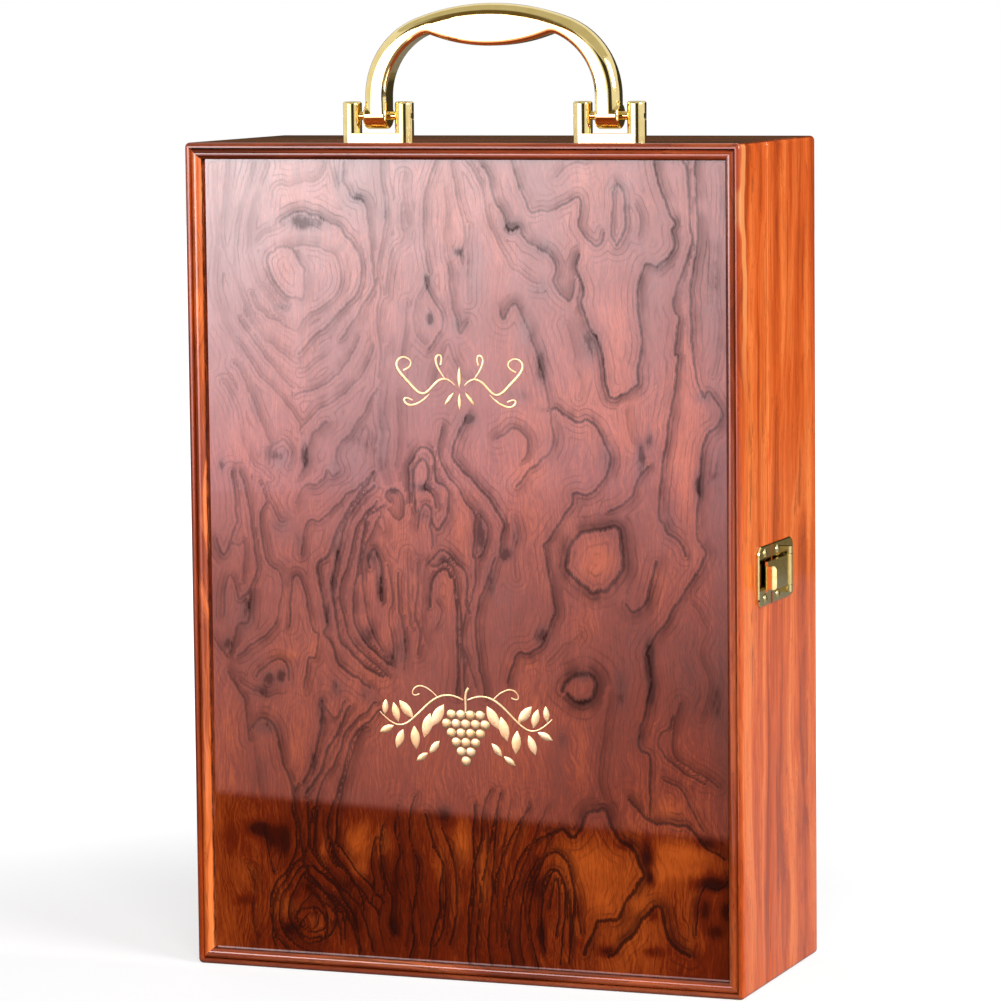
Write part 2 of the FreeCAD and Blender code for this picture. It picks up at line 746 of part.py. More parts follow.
to_left = FreeCAD.Rotation(FreeCAD.Vector(0, 0, 1), FreeCAD.Vector(-1, 0, 0))
to_right = FreeCAD.Rotation(FreeCAD.Vector(0, 0, 1), FreeCAD.Vector(1, 0, 0))

# Hinges: two butt hinges on the left side, knuckles standing just outside it on the parting plane
knuckle_pitch = s.hinge_height / KNUCKLES
clear_out = s.barrel_radius + s.barrel_air
leaf_face = -side - s.leaf_thick
for place, height in hinge_heights.items():
    low = height - s.hinge_height / 2
    for owner, sign, first in (("case", 1, 0), ("lid", -1, 1)):
        leaf = new_body(f"hinge_{owner}_leaf_{place}")

        def behind(distance):
            """A depth measured from the parting plane into the half that carries this leaf."""
            return parting + distance * sign

        plate = rectangle(leaf_face, -side, behind(clear_out), behind(s.leaf_width))
        pad(leaf, "XY_Plane", low, low + s.hinge_height, plate)
        for index in range(first, KNUCKLES, 2):
            bottom = low + knuckle_pitch * index + s.barrel_air / 2
            roof = low + knuckle_pitch * (index + 1) - s.barrel_air / 2
            arm = rectangle(leaf_face, -side, parting, behind(clear_out))
            pad(leaf, "XY_Plane", bottom, roof, arm)
            pad(leaf, "XY_Plane", bottom, roof, Circle((hinge_x, parting), s.barrel_radius))
        fit = s.pin_fit if owner == "case" else s.running_fit
        pocket(leaf, "XY_Plane", low - s.overrun, low + s.hinge_height + s.overrun,
               Circle((hinge_x, parting), s.hinge_pin_radius + fit))
        holes = [Circle((behind(leaf_screw_out), height + offset), pilot_radius)
                 for offset in (-s.hinge_screw_pitch / 2, s.hinge_screw_pitch / 2)]
        pocket(leaf, "YZ_Plane", leaf_face - s.overrun, -side, *holes)
        named(leaf, f"hinge_{owner}_leaf_{place}")
    rod(f"hinge_pin_{place}", FreeCAD.Vector(0, 0, 1), s.hinge_pin_radius, s.hinge_height,
        hinge_x, parting, low)
for owner, sign in (("case", 1), ("lid", -1)):
    places = [(leaf_face, y, z) for y, z in leaf_screw_places(parting + leaf_screw_out * sign)]
    group(f"hinge_{owner}_screws", screw, to_left, places)

# Latch plates: bevelled brass plates on the right side, either side of the parting
plate_face = side + s.plate_thick
latch_low = s.latch_height - s.latch_tall / 2
latch_high = s.latch_height + s.latch_tall / 2


def plate_outline(square_y, round_y):
    """A plate in the side view: square at the parting, rounded corners at the other end."""
    inset = s.plate_corner if round_y.value > square_y.value else -s.plate_corner
    low_centre = (round_y - inset, latch_low + s.plate_corner)
    high_centre = (round_y - inset, latch_high - s.plate_corner)
    return [
        (square_y, latch_low),
        (round_y - inset, latch_low),
        Arc((round_y, latch_low + s.plate_corner), low_centre),
        (round_y, latch_high - s.plate_corner),
        Arc((round_y - inset, latch_high), high_centre),
        (square_y, latch_high),
    ]


def latch_plate(name, square_y, round_y, screw_y):
    plate = new_body(name)
    pad(plate, "YZ_Plane", side, plate_face, plate_outline(square_y, round_y))
    chamfer(plate, s.plate_bevel, lambda edge: lies_at(edge.BoundBox.XMin, edge.BoundBox.XMax, plate_face)
            and not lies_at(edge.BoundBox.YMin, edge.BoundBox.YMax, square_y))
    pocket(plate, "YZ_Plane", side, plate_face,
           *[Circle((screw_y, height), pilot_radius) for height in latch_screw_heights])
    places = [(plate_face, screw_y, height) for height in latch_screw_heights]
    group(f"{name}_screws", screw, to_right, places)
    return plate


catch = latch_plate("latch_catch_plate", catch_back, catch_front, catch_screw_y)
ridge_y = catch_back - s.ridge_place
pad(catch, "XY_Plane", s.latch_height - s.ridge_length / 2, s.latch_height + s.ridge_length / 2, [
    (plate_face, ridge_y - s.ridge_radius),
    Arc((plate_face, ridge_y + s.ridge_radius), (plate_face, ridge_y),
        (plate_face + s.ridge_radius, ridge_y)),
])
named(catch, "latch_catch_plate")

base = latch_plate("latch_base_plate", base_front, base_front + s.base_length, base_screw_y)
hasp_y = base_front + s.hasp_pin_place
hasp_x = plate_face + s.hasp_barrel_radius + s.hasp_air
lug_inner = s.hasp_width / 2 + s.hasp_air
for sign in (-1, 1):
    ends = [s.latch_height + lug_inner * sign, s.latch_height + (lug_inner + s.lug_width) * sign]
    low, high = ends[::sign]
    web = rectangle(plate_face, hasp_x, hasp_y - s.hasp_barrel_radius, hasp_y + s.hasp_barrel_radius)
    pad(base, "XY_Plane", low, high, web)
    pad(base, "XY_Plane", low, high, Circle((hasp_x, hasp_y), s.hasp_barrel_radius))
pin_reach = lug_inner + s.lug_width
pocket(base, "XY_Plane", s.latch_height - pin_reach - s.overrun, s.latch_height + pin_reach + s.overrun,
       Circle((hasp_x, hasp_y), s.hasp_pin_radius + s.pin_fit))
named(base, "latch_base_plate")
rod("latch_pin", FreeCAD.Vector(0, 0, 1), s.hasp_pin_radius, pin_reach * 2, hasp_x, hasp_y,
    s.latch_height - pin_reach)

# Hasp: a bent tongue that turns on the latch pin, with a bill turned out for the finger
tongue_in = hasp_x - s.hasp_thick / 2
tongue_out = hasp_x + s.hasp_thick / 2
bill_front = front + s.bill_place
bill_back = bill_front + s.hasp_thick
bill_tip = side + s.bill_reach
bill_stand = bill_tip - tongue_out
bill_bend = smaller(s.bill_bend, bill_stand * bend_share)
bend_y = bill_back + bill_bend
bend_x = tongue_out + bill_bend
hasp_low = s.latch_height - s.hasp_width / 2
hasp_high = s.latch_height + s.hasp_width / 2
hasp = new_body("latch_hasp")
pad(hasp, "XY_Plane", hasp_low, hasp_high, [
    (tongue_in, hasp_y),
    (tongue_in, bend_y),
    Arc((bend_x, bill_front), (bend_x, bend_y)),
    (bill_tip, bill_front),
    (bill_tip, bill_back),
    (bend_x, bill_back),
    Arc((tongue_out, bend_y), (bend_x, bend_y)),
    (tongue_out, hasp_y),
])
pad(hasp, "XY_Plane", hasp_low, hasp_high, Circle((hasp_x, hasp_y), s.hasp_barrel_radius))
pocket(hasp, "XY_Plane", hasp_low - s.overrun, hasp_high + s.overrun,
       Circle((hasp_x, hasp_y), s.hasp_pin_radius + s.running_fit))
bill_half = s.bill_width / 2
pocket(hasp, "YZ_Plane", side, bill_tip + s.overrun, *[
    rectangle(bill_front - s.overrun, bend_y, *ends) for ends in (
        (hasp_low - s.overrun, s.latch_height - bill_half),
        (s.latch_height + bill_half, hasp_high + s.overrun),
    )
])
bill_ends = (s.latch_height - bill_half, s.latch_height + bill_half)
bill_corner = smaller(s.bill_corner, bill_stand * bill_corner_share)
fillet(hasp, bill_corner, lambda edge: lies_at(edge.BoundBox.XMin, edge.BoundBox.XMax, bill_tip)
       and any(lies_at(edge.BoundBox.ZMin, edge.BoundBox.ZMax, place) for place in bill_ends))
named(hasp, "latch_hasp")

# Check every object and piece, then write one file per piece
doc.recompute()
failed = [thing.Label for thing in doc.Objects if {"Invalid", "Error"} & set(thing.State)]
failed += [thing.Label for thing in nodes if thing.Shape.isNull() or not thing.Shape.isValid()]
failed += [thing.Label for thing in nodes if not thing.Shape.Solids]
failed += [cut.Label for cut in pockets if cut.Shape.Volume >= cut.BaseFeature.Shape.Volume]
if failed:
    raise SystemExit(f"not built: {sorted(set(failed))}")
os.makedirs("parts", exist_ok=True)
for thing in nodes:
    thing.Shape.exportStep(os.path.join("parts", f"{thing.Label}.step"))
    print(thing.Label, len(thing.Shape.Solids), round(thing.Shape.Volume))
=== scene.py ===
import math

import bpy
import numpy
from mathutils import Matrix, Vector, noise


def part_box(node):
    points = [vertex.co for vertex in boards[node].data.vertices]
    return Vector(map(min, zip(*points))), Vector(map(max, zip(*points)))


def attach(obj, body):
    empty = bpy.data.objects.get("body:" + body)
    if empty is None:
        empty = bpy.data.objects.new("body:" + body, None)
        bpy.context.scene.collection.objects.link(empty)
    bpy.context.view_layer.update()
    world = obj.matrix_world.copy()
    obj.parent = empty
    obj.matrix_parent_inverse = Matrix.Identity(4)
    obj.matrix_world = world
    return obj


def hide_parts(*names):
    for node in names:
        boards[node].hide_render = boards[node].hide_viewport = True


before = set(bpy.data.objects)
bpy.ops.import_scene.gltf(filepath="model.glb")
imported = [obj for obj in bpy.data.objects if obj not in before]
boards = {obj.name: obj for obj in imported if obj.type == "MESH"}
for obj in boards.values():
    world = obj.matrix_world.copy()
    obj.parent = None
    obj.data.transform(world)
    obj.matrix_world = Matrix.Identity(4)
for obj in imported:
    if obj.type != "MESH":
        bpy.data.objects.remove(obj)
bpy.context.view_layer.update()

# Case: four mitred walls of red-brown hardwood, glued at the corners and lacquered to a high gloss.
# The grain runs along each board, upright on the sides and level on the top and the bottom.
# The lacquer lies thick on the rounded edges and has a slow ripple in it.


def new_finish(name):
    """A material with nothing but its Principled shader and the output."""
    finish = bpy.data.materials.new(name)
    finish.use_nodes = True
    return finish, finish.node_tree, finish.node_tree.nodes["Principled BSDF"]


def fill(socket, value):
    """Link a socket to another node's output, or give it a value; a colour is opaque."""
    if isinstance(value, bpy.types.NodeSocket):
        socket.id_data.links.new(value, socket)
    else:
        socket.default_value = (*value, 1) if socket.type == "RGBA" else value


def wire(node, **sockets):
    """Fill a node's sockets by their names, written with underscores."""
    for name, value in sockets.items():
        fill(node.inputs[name.replace("_", " ")], value)
    return node


def put(tree, kind, settings=None, **sockets):
    """Add a node with its settings and sockets to a tree."""
    made = tree.nodes.new(kind)
    for key, value in (settings or {}).items():
        setattr(made, key, value)
    return wire(made, **sockets)


def reckon(operation, *terms, clamp=False):
    """One operation on values, in the node tree that they come from."""
    tree = next(term.id_data for term in terms if isinstance(term, bpy.types.NodeSocket))
    made = put(tree, "ShaderNodeMath", {"operation": operation, "use_clamp": clamp})
    for socket, value in zip(made.inputs, terms):
        fill(socket, value)
    return made.outputs[0]


def times(product, *terms, clamp=False):
    for term in terms:
        product = reckon("MULTIPLY", product, term, clamp=clamp)
    return product


def weigh(value, weight, rest, clamp=False):
    """A value times its weight, and the rest."""
    return reckon("MULTIPLY_ADD", value, weight, rest, clamp=clamp)


def reckon_vector(operation, *terms):
    made = put(terms[0].id_data, "ShaderNodeVectorMath", {"operation": operation})
    for socket, value in zip(made.inputs, terms):
        fill(socket, value)
    return made.outputs["Value" if operation == "LENGTH" else "Vector"]


def own_place(tree):
    return put(tree, "ShaderNodeTexCoord").outputs["Object"]


def axes_of(vector):
    return put(vector.id_data, "ShaderNodeSeparateXYZ", Vector=vector).outputs


def blend_colour(share, first, second):
    made = put(share.id_data, "ShaderNodeMix", {"data_type": "RGBA", "clamp_factor": True})
    for socket, value in zip((made.inputs[0], made.inputs[6], made.inputs[7]), (share, first, second)):
        fill(socket, value)
    return made.outputs[2]


def shade_ramp(share, *stops):
    """A colour ramp from (place, colour) stops."""
    made = put(share.id_data, "ShaderNodeValToRGB", Fac=share)
    band = made.color_ramp.elements
    while len(band) < len(stops):
        band.new(0.5)
    for element, (place, colour) in zip(band, stops):
        element.position = place
        element.color = (*colour, 1)
    return made.outputs["Color"]


def spread(value, low, high, to_low=0.0, to_high=1.0, easing="SMOOTHSTEP"):
    """Spread a value from one range over another and hold it at the ends."""
    return put(value.id_data, "ShaderNodeMapRange", {"interpolation_type": easing}, Value=value,
               From_Min=low, From_Max=high, To_Min=to_low, To_Max=to_high).outputs["Result"]


def slide(*terms):
    """The same in a straight line."""
    return spread(*terms, easing="LINEAR")


def cloud(vector, size, detail=2.0, rough=0.5):
    return put(vector.id_data, "ShaderNodeTexNoise", Vector=vector, Scale=size, Detail=detail,
               Roughness=rough).outputs["Fac"]


def drawn_cloud(vector, across, along, detail=2.0, rough=0.5):
    """Noise drawn out along the grain, which runs along Z."""
    return cloud(reckon_vector("MULTIPLY", vector, (across, across, along)), 1.0, detail, rough)


def relief(height, strength, distance):
    return put(height.id_data, "ShaderNodeBump", Strength=strength, Distance=distance,
               Height=height).outputs["Normal"]


def shared_effect(name, *outputs):
    """A node group that takes coordinates and puts out the named values."""
    group = bpy.data.node_groups.new(name, "ShaderNodeTree")
    group.interface.new_socket("Vector", in_out="INPUT", socket_type="NodeSocketVector")
    for label in outputs:
        group.interface.new_socket(label, in_out="OUTPUT", socket_type="NodeSocketFloat")
    return group, group.nodes.new("NodeGroupInput").outputs["Vector"], group.nodes.new("NodeGroupOutput")


def use_effect(group, vector):
    return put(vector.id_data, "ShaderNodeGroup", {"node_tree": group}, Vector=vector).outputs


# Straight grain: broad flames, streaks and short pores along Z, in metres.
straight_grain, place, result = shared_effect("straight_grain", "Tone", "Pore", "Streak")
sway_reach, curl_reach = 0.034, 0.018
sway = times(reckon("SUBTRACT", drawn_cloud(place, 14, 4), 0.5), sway_reach)
curl = reckon("SUBTRACT", drawn_cloud(place, 34, 12, 3), 0.5)
sway = weigh(curl, curl_reach, sway)
swayed = put(straight_grain, "ShaderNodeCombineXYZ", X=sway, Y=sway).outputs[0]
swayed = reckon_vector("ADD", place, swayed)
flame = slide(drawn_cloud(swayed, 75, 3.2, 3, 0.55), 0.34, 0.66)
streak = drawn_cloud(swayed, 230, 6, 5, 0.65)
fibre = drawn_cloud(swayed, 1500, 30, 2, 0.6)
pore = drawn_cloud(swayed, 2300, 55, 1)
tone = weigh(flame, 0.42, times(streak, 0.44))
tone = weigh(fibre, 0.24, reckon("SUBTRACT", tone, 0.05))
wire(result, Tone=slide(tone, 0.25, 0.75), Pore=spread(pore, 0.62, 0.72), Streak=spread(streak, 0.55, 0.68))

# Lacquer ripple: the slow wave and faint orange peel of a thick coat, as a height.
lacquer_ripple, place, result = shared_effect("lacquer_ripple", "Height")
wave = drawn_cloud(place, 60, 22, 2, 0.4)
peel = cloud(place, 700.0, 1)
wire(result, Height=weigh(peel, 0.06, wave))


def lacquered_board(name, deep, warm, pale, level=False, gloss=0.07, stain_and_shade=None, index=1.52, painted_highlight=None):
    """Straight-grained board in three tones, its grain upright or level.

    A painted shade is the depths where it starts and where it is full, its strength and its colour. Given a middle
    and two distances from it across the grain, it fades outwards from the first to the second.
    A painted highlight is the depth and half width of a pale wavy strip and the heights between which it fades in.
    """
    finish, tree, shader = new_finish(name)
    place = own_place(tree)
    if level:
        axes = axes_of(place)
        place = put(tree, "ShaderNodeCombineXYZ", X=axes["Z"], Y=axes["Y"], Z=axes["X"]).outputs[0]
    grain = use_effect(straight_grain, place)
    colour = shade_ramp(grain["Tone"], (0.08, deep), (0.5, warm), (0.95, pale))
    dark = tuple(part * 0.5 for part in deep)
    for mark, strength in (("Pore", 0.55), ("Streak", 0.6)):
        colour = blend_colour(times(grain[mark], strength), colour, dark)
    # Painted highlight: a pale wavy strip near the front corner, fading in upwards.
    if painted_highlight:
        middle, half, faint_z, full_z = painted_highlight
        axes = axes_of(place)
        curve = reckon("SUBTRACT", drawn_cloud(place, 0, 26), 0.5)
        off = reckon("SUBTRACT", weigh(curve, 4 * half, axes["Y"]), middle)
        strip = spread(reckon("ABSOLUTE", off), half / 2, half, 0.75, 0.0)
        strip = times(strip, spread(axes["Z"], faint_z, full_z))
        colour = blend_colour(strip, colour, (0.80, 0.30, 0.10))
    # Painted shade: darker towards a depth, mottled, and fading across the grain where a middle is given.
    if stain_and_shade:
        clear_y, dark_y, strength, shade_colour, *inside = stain_and_shade
        axes = axes_of(place)
        blot = drawn_cloud(place, 900, 160, 3, 0.6)
        depth = weigh(reckon("SUBTRACT", blot, 0.5), abs(dark_y - clear_y), axes["Y"])
        toned = times(spread(depth, clear_y, dark_y, 0.0, strength), spread(blot, 0.35, 0.6, 0.7, 1.0))
        if inside:
            middle, full, faint = inside
            across = reckon("ABSOLUTE", reckon("SUBTRACT", axes["X"], middle))
            toned = times(toned, spread(across, full, faint, 1.0, 0.45))
        colour = blend_colour(toned, colour, shade_colour)
    height = use_effect(lacquer_ripple, place)["Height"]
    wire(shader, Base_Color=colour, Roughness=weigh(grain["Pore"], 0.08, gloss),
         Normal=relief(height, 0.35, 0.0006), IOR=index)
    return finish


def dress(finish, *names):
    """Give CAD pieces their finish in every slot they have."""
    for name in names:
        slots = boards[name].data.materials
        for index in range(len(slots)):
            slots[index] = finish
        if not len(slots):
            slots.append(finish)


red_orange = ((0.30, 0.040, 0.007), (0.56, 0.088, 0.013), (0.74, 0.180, 0.040))
# The top and bottom walls take a darker copy of the sides' wood: painted shade, as the top lies out of the light.
shaded_red_brown = ((0.15, 0.022, 0.006), (0.30, 0.048, 0.010), (0.44, 0.098, 0.026))
dress(lacquered_board("upright_wood", *red_orange), "case_left_wall", "case_right_wall")
dress(lacquered_board("level_wood", *shaded_red_brown, level=True), "case_top_wall", "case_bottom_wall")

# Back panel: a thin board of the same wood, darker and less polished, let into a rebate and glued.
back_tones = ((0.17, 0.026, 0.006), (0.34, 0.056, 0.011), (0.48, 0.10, 0.022))
dress(lacquered_board("back_wood", *back_tones, gloss=0.16), "back_panel")

# Lid: four mitred walls like the case's, with a narrow lip standing round the bead.
# The end of that lip is darkened a little, unevenly, with painted shade.
# The right wall has a pale wavy strip at its front corner, in the upper part: a painted highlight.
lip_painted_shade = (-0.0499, -0.0514, 0.55, (0.10, 0.014, 0.006))
painted_highlight_strip = (-0.0468, 0.0036, 0.22, 0.30)
dress(lacquered_board("lid_upright", *red_orange, stain_and_shade=lip_painted_shade), "lid_left_wall")
dress(lacquered_board("highlit_board", *red_orange, stain_and_shade=lip_painted_shade, painted_highlight=painted_highlight_strip), "lid_right_wall")
# The lid's top and bottom walls take the same darker copy of the wood: painted shade.
dress(lacquered_board("lid_level", *shaded_red_brown, level=True, stain_and_shade=lip_painted_shade), "lid_top_wall", "lid_bottom_wall")

# Front panel: a board faced with dark figured veneer under a mirror-like lacquer.
# The figure is the dark edges of growth rings cut nearly flat, which close into ovals round the knots.
# A ring is its darkness, its half width and then its points on the panel, right and up in turn, in millimetres.
# A stain is its middle, its half width and half height, and its darkness, below zero where the wood is paler.
veneer_lines = (
    # The oval at the upper left, with the rows of pointed rings under it
    (0.29, 0.9, -93, 341, -100, 320, -102, 309, -102, 300, -100, 288, -95, 276, -88, 267),
    (0.27, 0.9, -87, 341, -94, 322, -96, 309, -95, 300, -91, 290, -79, 275),
    (0.3, 0.9, -105, 341, -108, 313, -106, 303, -101, 292, -98, 284, -93, 274, -87, 267),
    (0.22, 1, -111, 340, -111, 326, -110, 309, -112, 292, -109, 279, -101, 262),
    (0.36, 0.8, -84.5, 323.5, -83.5, 330, -80, 333, -76, 331.5, -62, 336, -59, 342.5),
    (0.43, 0.8, -58, 342.5, -55.5, 332.5),
    (0.58, 0.9, -51, 342, -52, 335, -50, 331, -48, 327, -44, 326, -42, 324, -39, 299, -40, 288, -54, 268),
    (0.32, 0.8, -90.5, 309, -87, 312, -79, 315),
    (0.61, 0.9, -81, 317, -75, 320, -69, 321, -63, 319, -54, 314, -47, 307, -45, 302, -44, 296, -46, 289, -50, 284,
     -73, 262),
    (0.47, 0.8, -73, 306.5, -65, 307, -56, 303, -54, 299, -53.5, 294.5, -54.5, 289.5, -57, 285.5, -69, 277.5,
     -73, 272.5),
    (0.61, 0.9, -86, 303, -83, 305, -78, 307, -75, 305, -71, 299.5, -70, 296, -71, 285, -74, 285, -78.5, 286.5,
     -82, 289.5, -86.5, 297.5, -86, 303),
    (0.36, 0.8, -89.5, 290, -86, 287.5, -82.5, 282.5, -78.5, 280, -76, 282.5),
    (0.4, 0.8, -94.5, 287, -91, 280, -85, 276, -75, 271.5),
    (0.4, 0.8, -98, 280, -93.5, 273, -78, 260, -74, 258),
    (0.43, 0.8, -100.5, 276, -84, 254.5, -75.5, 247.5),
    (0.47, 0.8, -101.5, 267, -91, 252.5, -85.5, 247.5, -74, 234.5, -73, 229.5),
    (0.47, 0.9, -102.5, 258, -98.5, 251, -86, 222),
    (0.36, 0.8, -108, 249, -103, 241, -99, 224, -96, 217, -87, 209),
    (0.36, 0.8, -73, 253, -58.5, 263),
    (0.58, 0.8, -74.5, 244, -70, 246.5, -63.5, 248, -56.5, 252.5, -47.5, 264, -45.5, 268.5),
    (0.5, 0.8, -73, 229.5, -65.5, 237.5, -51.5, 246.5, -42.5, 257, -39, 265),
    (0.61, 1.1, -61, 233.5, -66.5, 229.5, -71, 219, -70, 216, -73.5, 211.5),
    (0.58, 0.9, -36, 250, -49, 231, -55, 224, -57, 218, -55, 213, -58, 211, -61, 213, -62, 210, -66, 207, -70, 207,
     -73, 204, -75, 199),
    (0.5, 0.9, -87.5, 215.5, -86.5, 221, -82, 225, -79, 224, -76.5, 219, -78.5, 214),
    # Long wavy rings at the top, round an almond with a dark pip
    (0.45, 0.8, -35, 342, -35, 335, -33, 320, -37, 299, -36, 288, -38, 276, -36, 265, -37, 253),
    (0.37, 0.8, -25, 336.5, -25, 328.5, -23, 317.5),
    (0.41, 0.8, -26, 324.5, -26.5, 316, -25, 313, -26, 309.5, -29.5, 307, -31.5, 302, -33.5, 287.5),
    (0.53, 0.8, -11, 342, -15, 331, -16, 324, -16, 308, -14, 297),
    (0.7, 0.8, -16, 294.5, -14.5, 289.5, -9, 280, -8, 276, -9.5, 271.5, -14.5, 264.5),
    (0.41, 0.8, -16, 293, -20, 283, -21, 276, -19.5, 270, -16.5, 266.5),
    (0.49, 0.8, -24, 283.5, -24.5, 276, -27, 262.5),
    (0.49, 0.8, -4, 341, 1, 318, 2, 310, 0, 304, 1, 300),
    (0.37, 0.8, -6.5, 331, -6, 320.5, -7.5, 310, -6, 300.5),
    (0.57, 0.9, -5.5, 299.5, -4, 284.5, -1.5, 273.5, 0.5, 271.5, 2.5, 276),
    (0.37, 0.8, 4, 316, 3, 296.5, 3.5, 285.5),
    (0.45, 0.8, 3, 342, 10, 332, 13, 316, 20, 303, 24, 298, 35, 292),
    (0.74, 0.9, 10, 340, 13, 336, 14, 330, 16, 325, 18, 323, 22, 314, 26, 316, 28, 311, 37, 306, 40, 303, 42, 298,
     41, 293, 48, 285, 50, 294),
    (0.7, 0.8, 23, 342, 29, 325, 33, 322, 42, 323, 51, 328, 53, 325, 52, 318, 53, 314, 59, 308, 62, 309, 63, 313),
    (0.7, 0.9, 17, 281, 19, 278, 25, 283, 35, 257, 40, 228, 34, 219, 30, 216, 24, 209),
    (0.49, 0.8, -12, 251.5, -8, 262.5, -5.5, 266.5, -2, 257.5, 1.5, 253),
    (0.37, 1.4, -33, 265, -37, 243, -36, 229, -37, 217, -35, 209),
    (0.41, 0.9, -29, 245.5, -28.5, 225.5, -30, 216),
    # The long lobe and the wavy rings at the upper right
    (0.5, 0.8, 42.5, 336, 46, 340, 56, 342),
    (0.6, 0.8, 67, 330, 66, 313.5, 67.5, 310.5),
    (0.8, 0.9, 69, 332.5, 71.5, 329.5, 72, 318, 71, 312.5, 68.5, 309),
    (0.5, 0.8, 76.5, 325, 78.5, 319, 77.5, 313),
    (0.95, 0.9, 85, 342, 86, 334, 93, 318, 92, 314, 93, 309, 92, 306, 86, 300, 83, 301, 80, 299, 77, 289, 79, 270,
     77, 259, 77, 254, 76, 251, 67, 246, 64, 249, 61, 267, 56, 276, 53, 285, 54, 290, 51, 299, 52, 304),
    (0.85, 0.9, 97, 342, 99, 336, 100, 317, 100, 308, 93, 289, 93, 282, 95, 278, 93, 265, 94, 259, 86, 207, 88, 194,
     95, 187, 97, 182),
    (0.85, 0.9, 102, 342, 103, 311, 100, 292, 101, 263, 105, 247, 108, 249, 113, 241, 111, 236, 105, 228, 102, 193,
     104, 187, 104, 179, 82, 145, 81, 139, 82, 128, 76, 104, 81, 97, 81, 74),
    (0.35, 0.8, 112, 339, 113, 327, 111, 294, 112, 274, 109, 256),
    (0.4, 0.8, 46.5, 276, 50, 264.5, 49.5, 259.5, 52.5, 253, 51.5, 247),
    (0.9, 0.9, 38, 240, 42, 241, 50, 236, 55, 237, 59, 234, 62, 229, 65, 219, 58, 207, 49, 206, 48, 202, 37, 186,
     36, 181, 40, 160, 39, 154, 34, 143, 29, 140, 23, 138, 19, 127),
    (0.65, 0.9, 16, 228, 19.5, 231, 24.5, 232, 28.5, 228.5, 29, 223.5, 26.5, 220),
    (0.8, 0.9, 81, 218.5, 78, 214.5, 73, 205, 68.5, 201.5, 64, 200),
    (0.4, 0.8, 71.5, 242, 73, 231.5, 75, 227),
    # The ring at the right, and what hangs below it
    (1, 1.3, 45.5, 177, 47, 183.5, 50, 188.5, 54.5, 191, 66, 192.5, 69, 190.5, 70, 178, 67.5, 171.5, 64, 168,
     59.5, 166, 55, 166.5, 46.5, 174, 45.5, 177),
    (0.95, 1, 84.5, 179, 81, 166, 79, 161.5, 75.5, 158, 71.5, 160.5),
    (0.5, 0.8, 50.5, 148, 41, 140.5, 37, 135.5),
    (1, 1.4, 43.5, 124.5, 45, 128, 49, 130.5, 54, 131.5, 57.5, 128.5, 56.5, 122.5, 53.5, 120.5, 49, 120.5, 46, 122.5),
    (0.65, 0.8, 91.5, 116, 89, 110.5, 85.5, 107.5, 85.5, 102, 93.5, 94, 105, 88.5),
    (0.65, 0.8, 94.5, 121, 92, 113.5, 91.5, 101, 98, 95, 110.5, 88),
    (0.65, 0.8, 87.5, 89, 92, 87, 96, 84, 100, 75, 104, 69),
    (0.9, 1, 72, 80, 79, 73, 83, 71, 97, 70, 106, 61, 113, 58),
    (0.95, 1.2, 37, 64, 43, 66, 48, 63, 54, 73, 58, 75, 62, 74, 66, 65, 73, 60, 77, 52, 78, 48, 71, 39, 67, 30,
     59, 29, 57, 26, 52, 14),
    (0.95, 1.2, 63, 13.5, 68, 18.5, 75, 26, 77.5, 30, 83, 35.5, 86, 33, 89, 22.5, 97.5, 15.5),
    (0.45, 0.8, 64, 124, 59, 90, 61, 80),
    (0.4, 0.8, 100, 162, 106, 152, 103, 142, 107, 130, 104, 117),
    # Jagged rings at the left edge
    (0.75, 0.9, -104.5, 211.5, -103, 194.5, -103.5, 189, -108.5, 176, -111, 178.5, -112, 182.5),
    (0.65, 0.9, -101, 211, -98, 202, -94, 172, -96, 165, -98, 160, -102, 158),
    (0.6, 0.8, -105.5, 181.5, -102, 179.5, -99.5, 181, -100.5, 165.5),
    (0.6, 0.8, -109.5, 149.5, -108, 163.5, -106.5, 167, -104, 163.5, -103, 158.5),
    (0.85, 1, -97, 160.5, -98, 149, -102, 147, -104, 144, -107, 135),
    (0.7, 0.8, -92, 207, -89, 200, -92, 193, -90, 176, -87, 171, -84, 169, -82, 164, -83, 157, -87, 146, -103, 133),
    (0.55, 0.8, -91, 207.5, -84.5, 193, -81, 191),
    (0.75, 0.8, -43.5, 210.5, -48, 206, -53.5, 202.5, -63, 192.5, -68, 191.5, -71, 189.5, -73.5, 177.5),
    (0.75, 0.8, -79, 147, -78, 164, -76, 168, -73, 165, -69, 147, -66, 143, -67, 137, -68, 133, -71, 132, -73, 121),
    (0.6, 0.8, -114, 140, -111, 135.5, -108.5, 132.5),
    # The great swirl in the middle
    (0.9, 1, -40, 213, -52, 196, -57, 187, -61, 177, -64, 175, -66, 170, -62, 149, -63, 144, -60, 140, -58, 133,
     -54, 129, -43, 122),
    (0.95, 1, -40, 207, -52, 193, -59, 169, -60, 163, -57, 146, -55, 140, -45, 131, -37, 126),
    (0.8, 0.8, -39, 200, -47, 191, -50, 182, -52, 174, -55, 167, -56, 159, -52, 143, -48, 138, -35, 127),
    (0.9, 0.8, -36, 199, -40, 196, -44, 191, -49, 165, -50, 157, -47, 144, -33, 131),
    (0.7, 0.8, -37, 195, -44, 182, -46, 172, -44, 153, -41, 145, -37, 138),
    (0.9, 1, -42, 172.5, -42.5, 177.5, -40, 180.5, -37.5, 175, -37, 167, -37.5, 159),
    (0.6, 0.8, -43, 193, -39, 196.5, -36.5, 196, -35, 191.5, -35.5, 187.5, -38, 191.5),
    (0.7, 0.8, -33.5, 197.5, -29.5, 193, -27, 194.5, -26.5, 200, -28, 204.5, -31.5, 206, -34.5, 203, -32.5, 200),
    (0.6, 0.8, -34, 174, -32, 159, -34, 153, -32, 140, -33, 131),
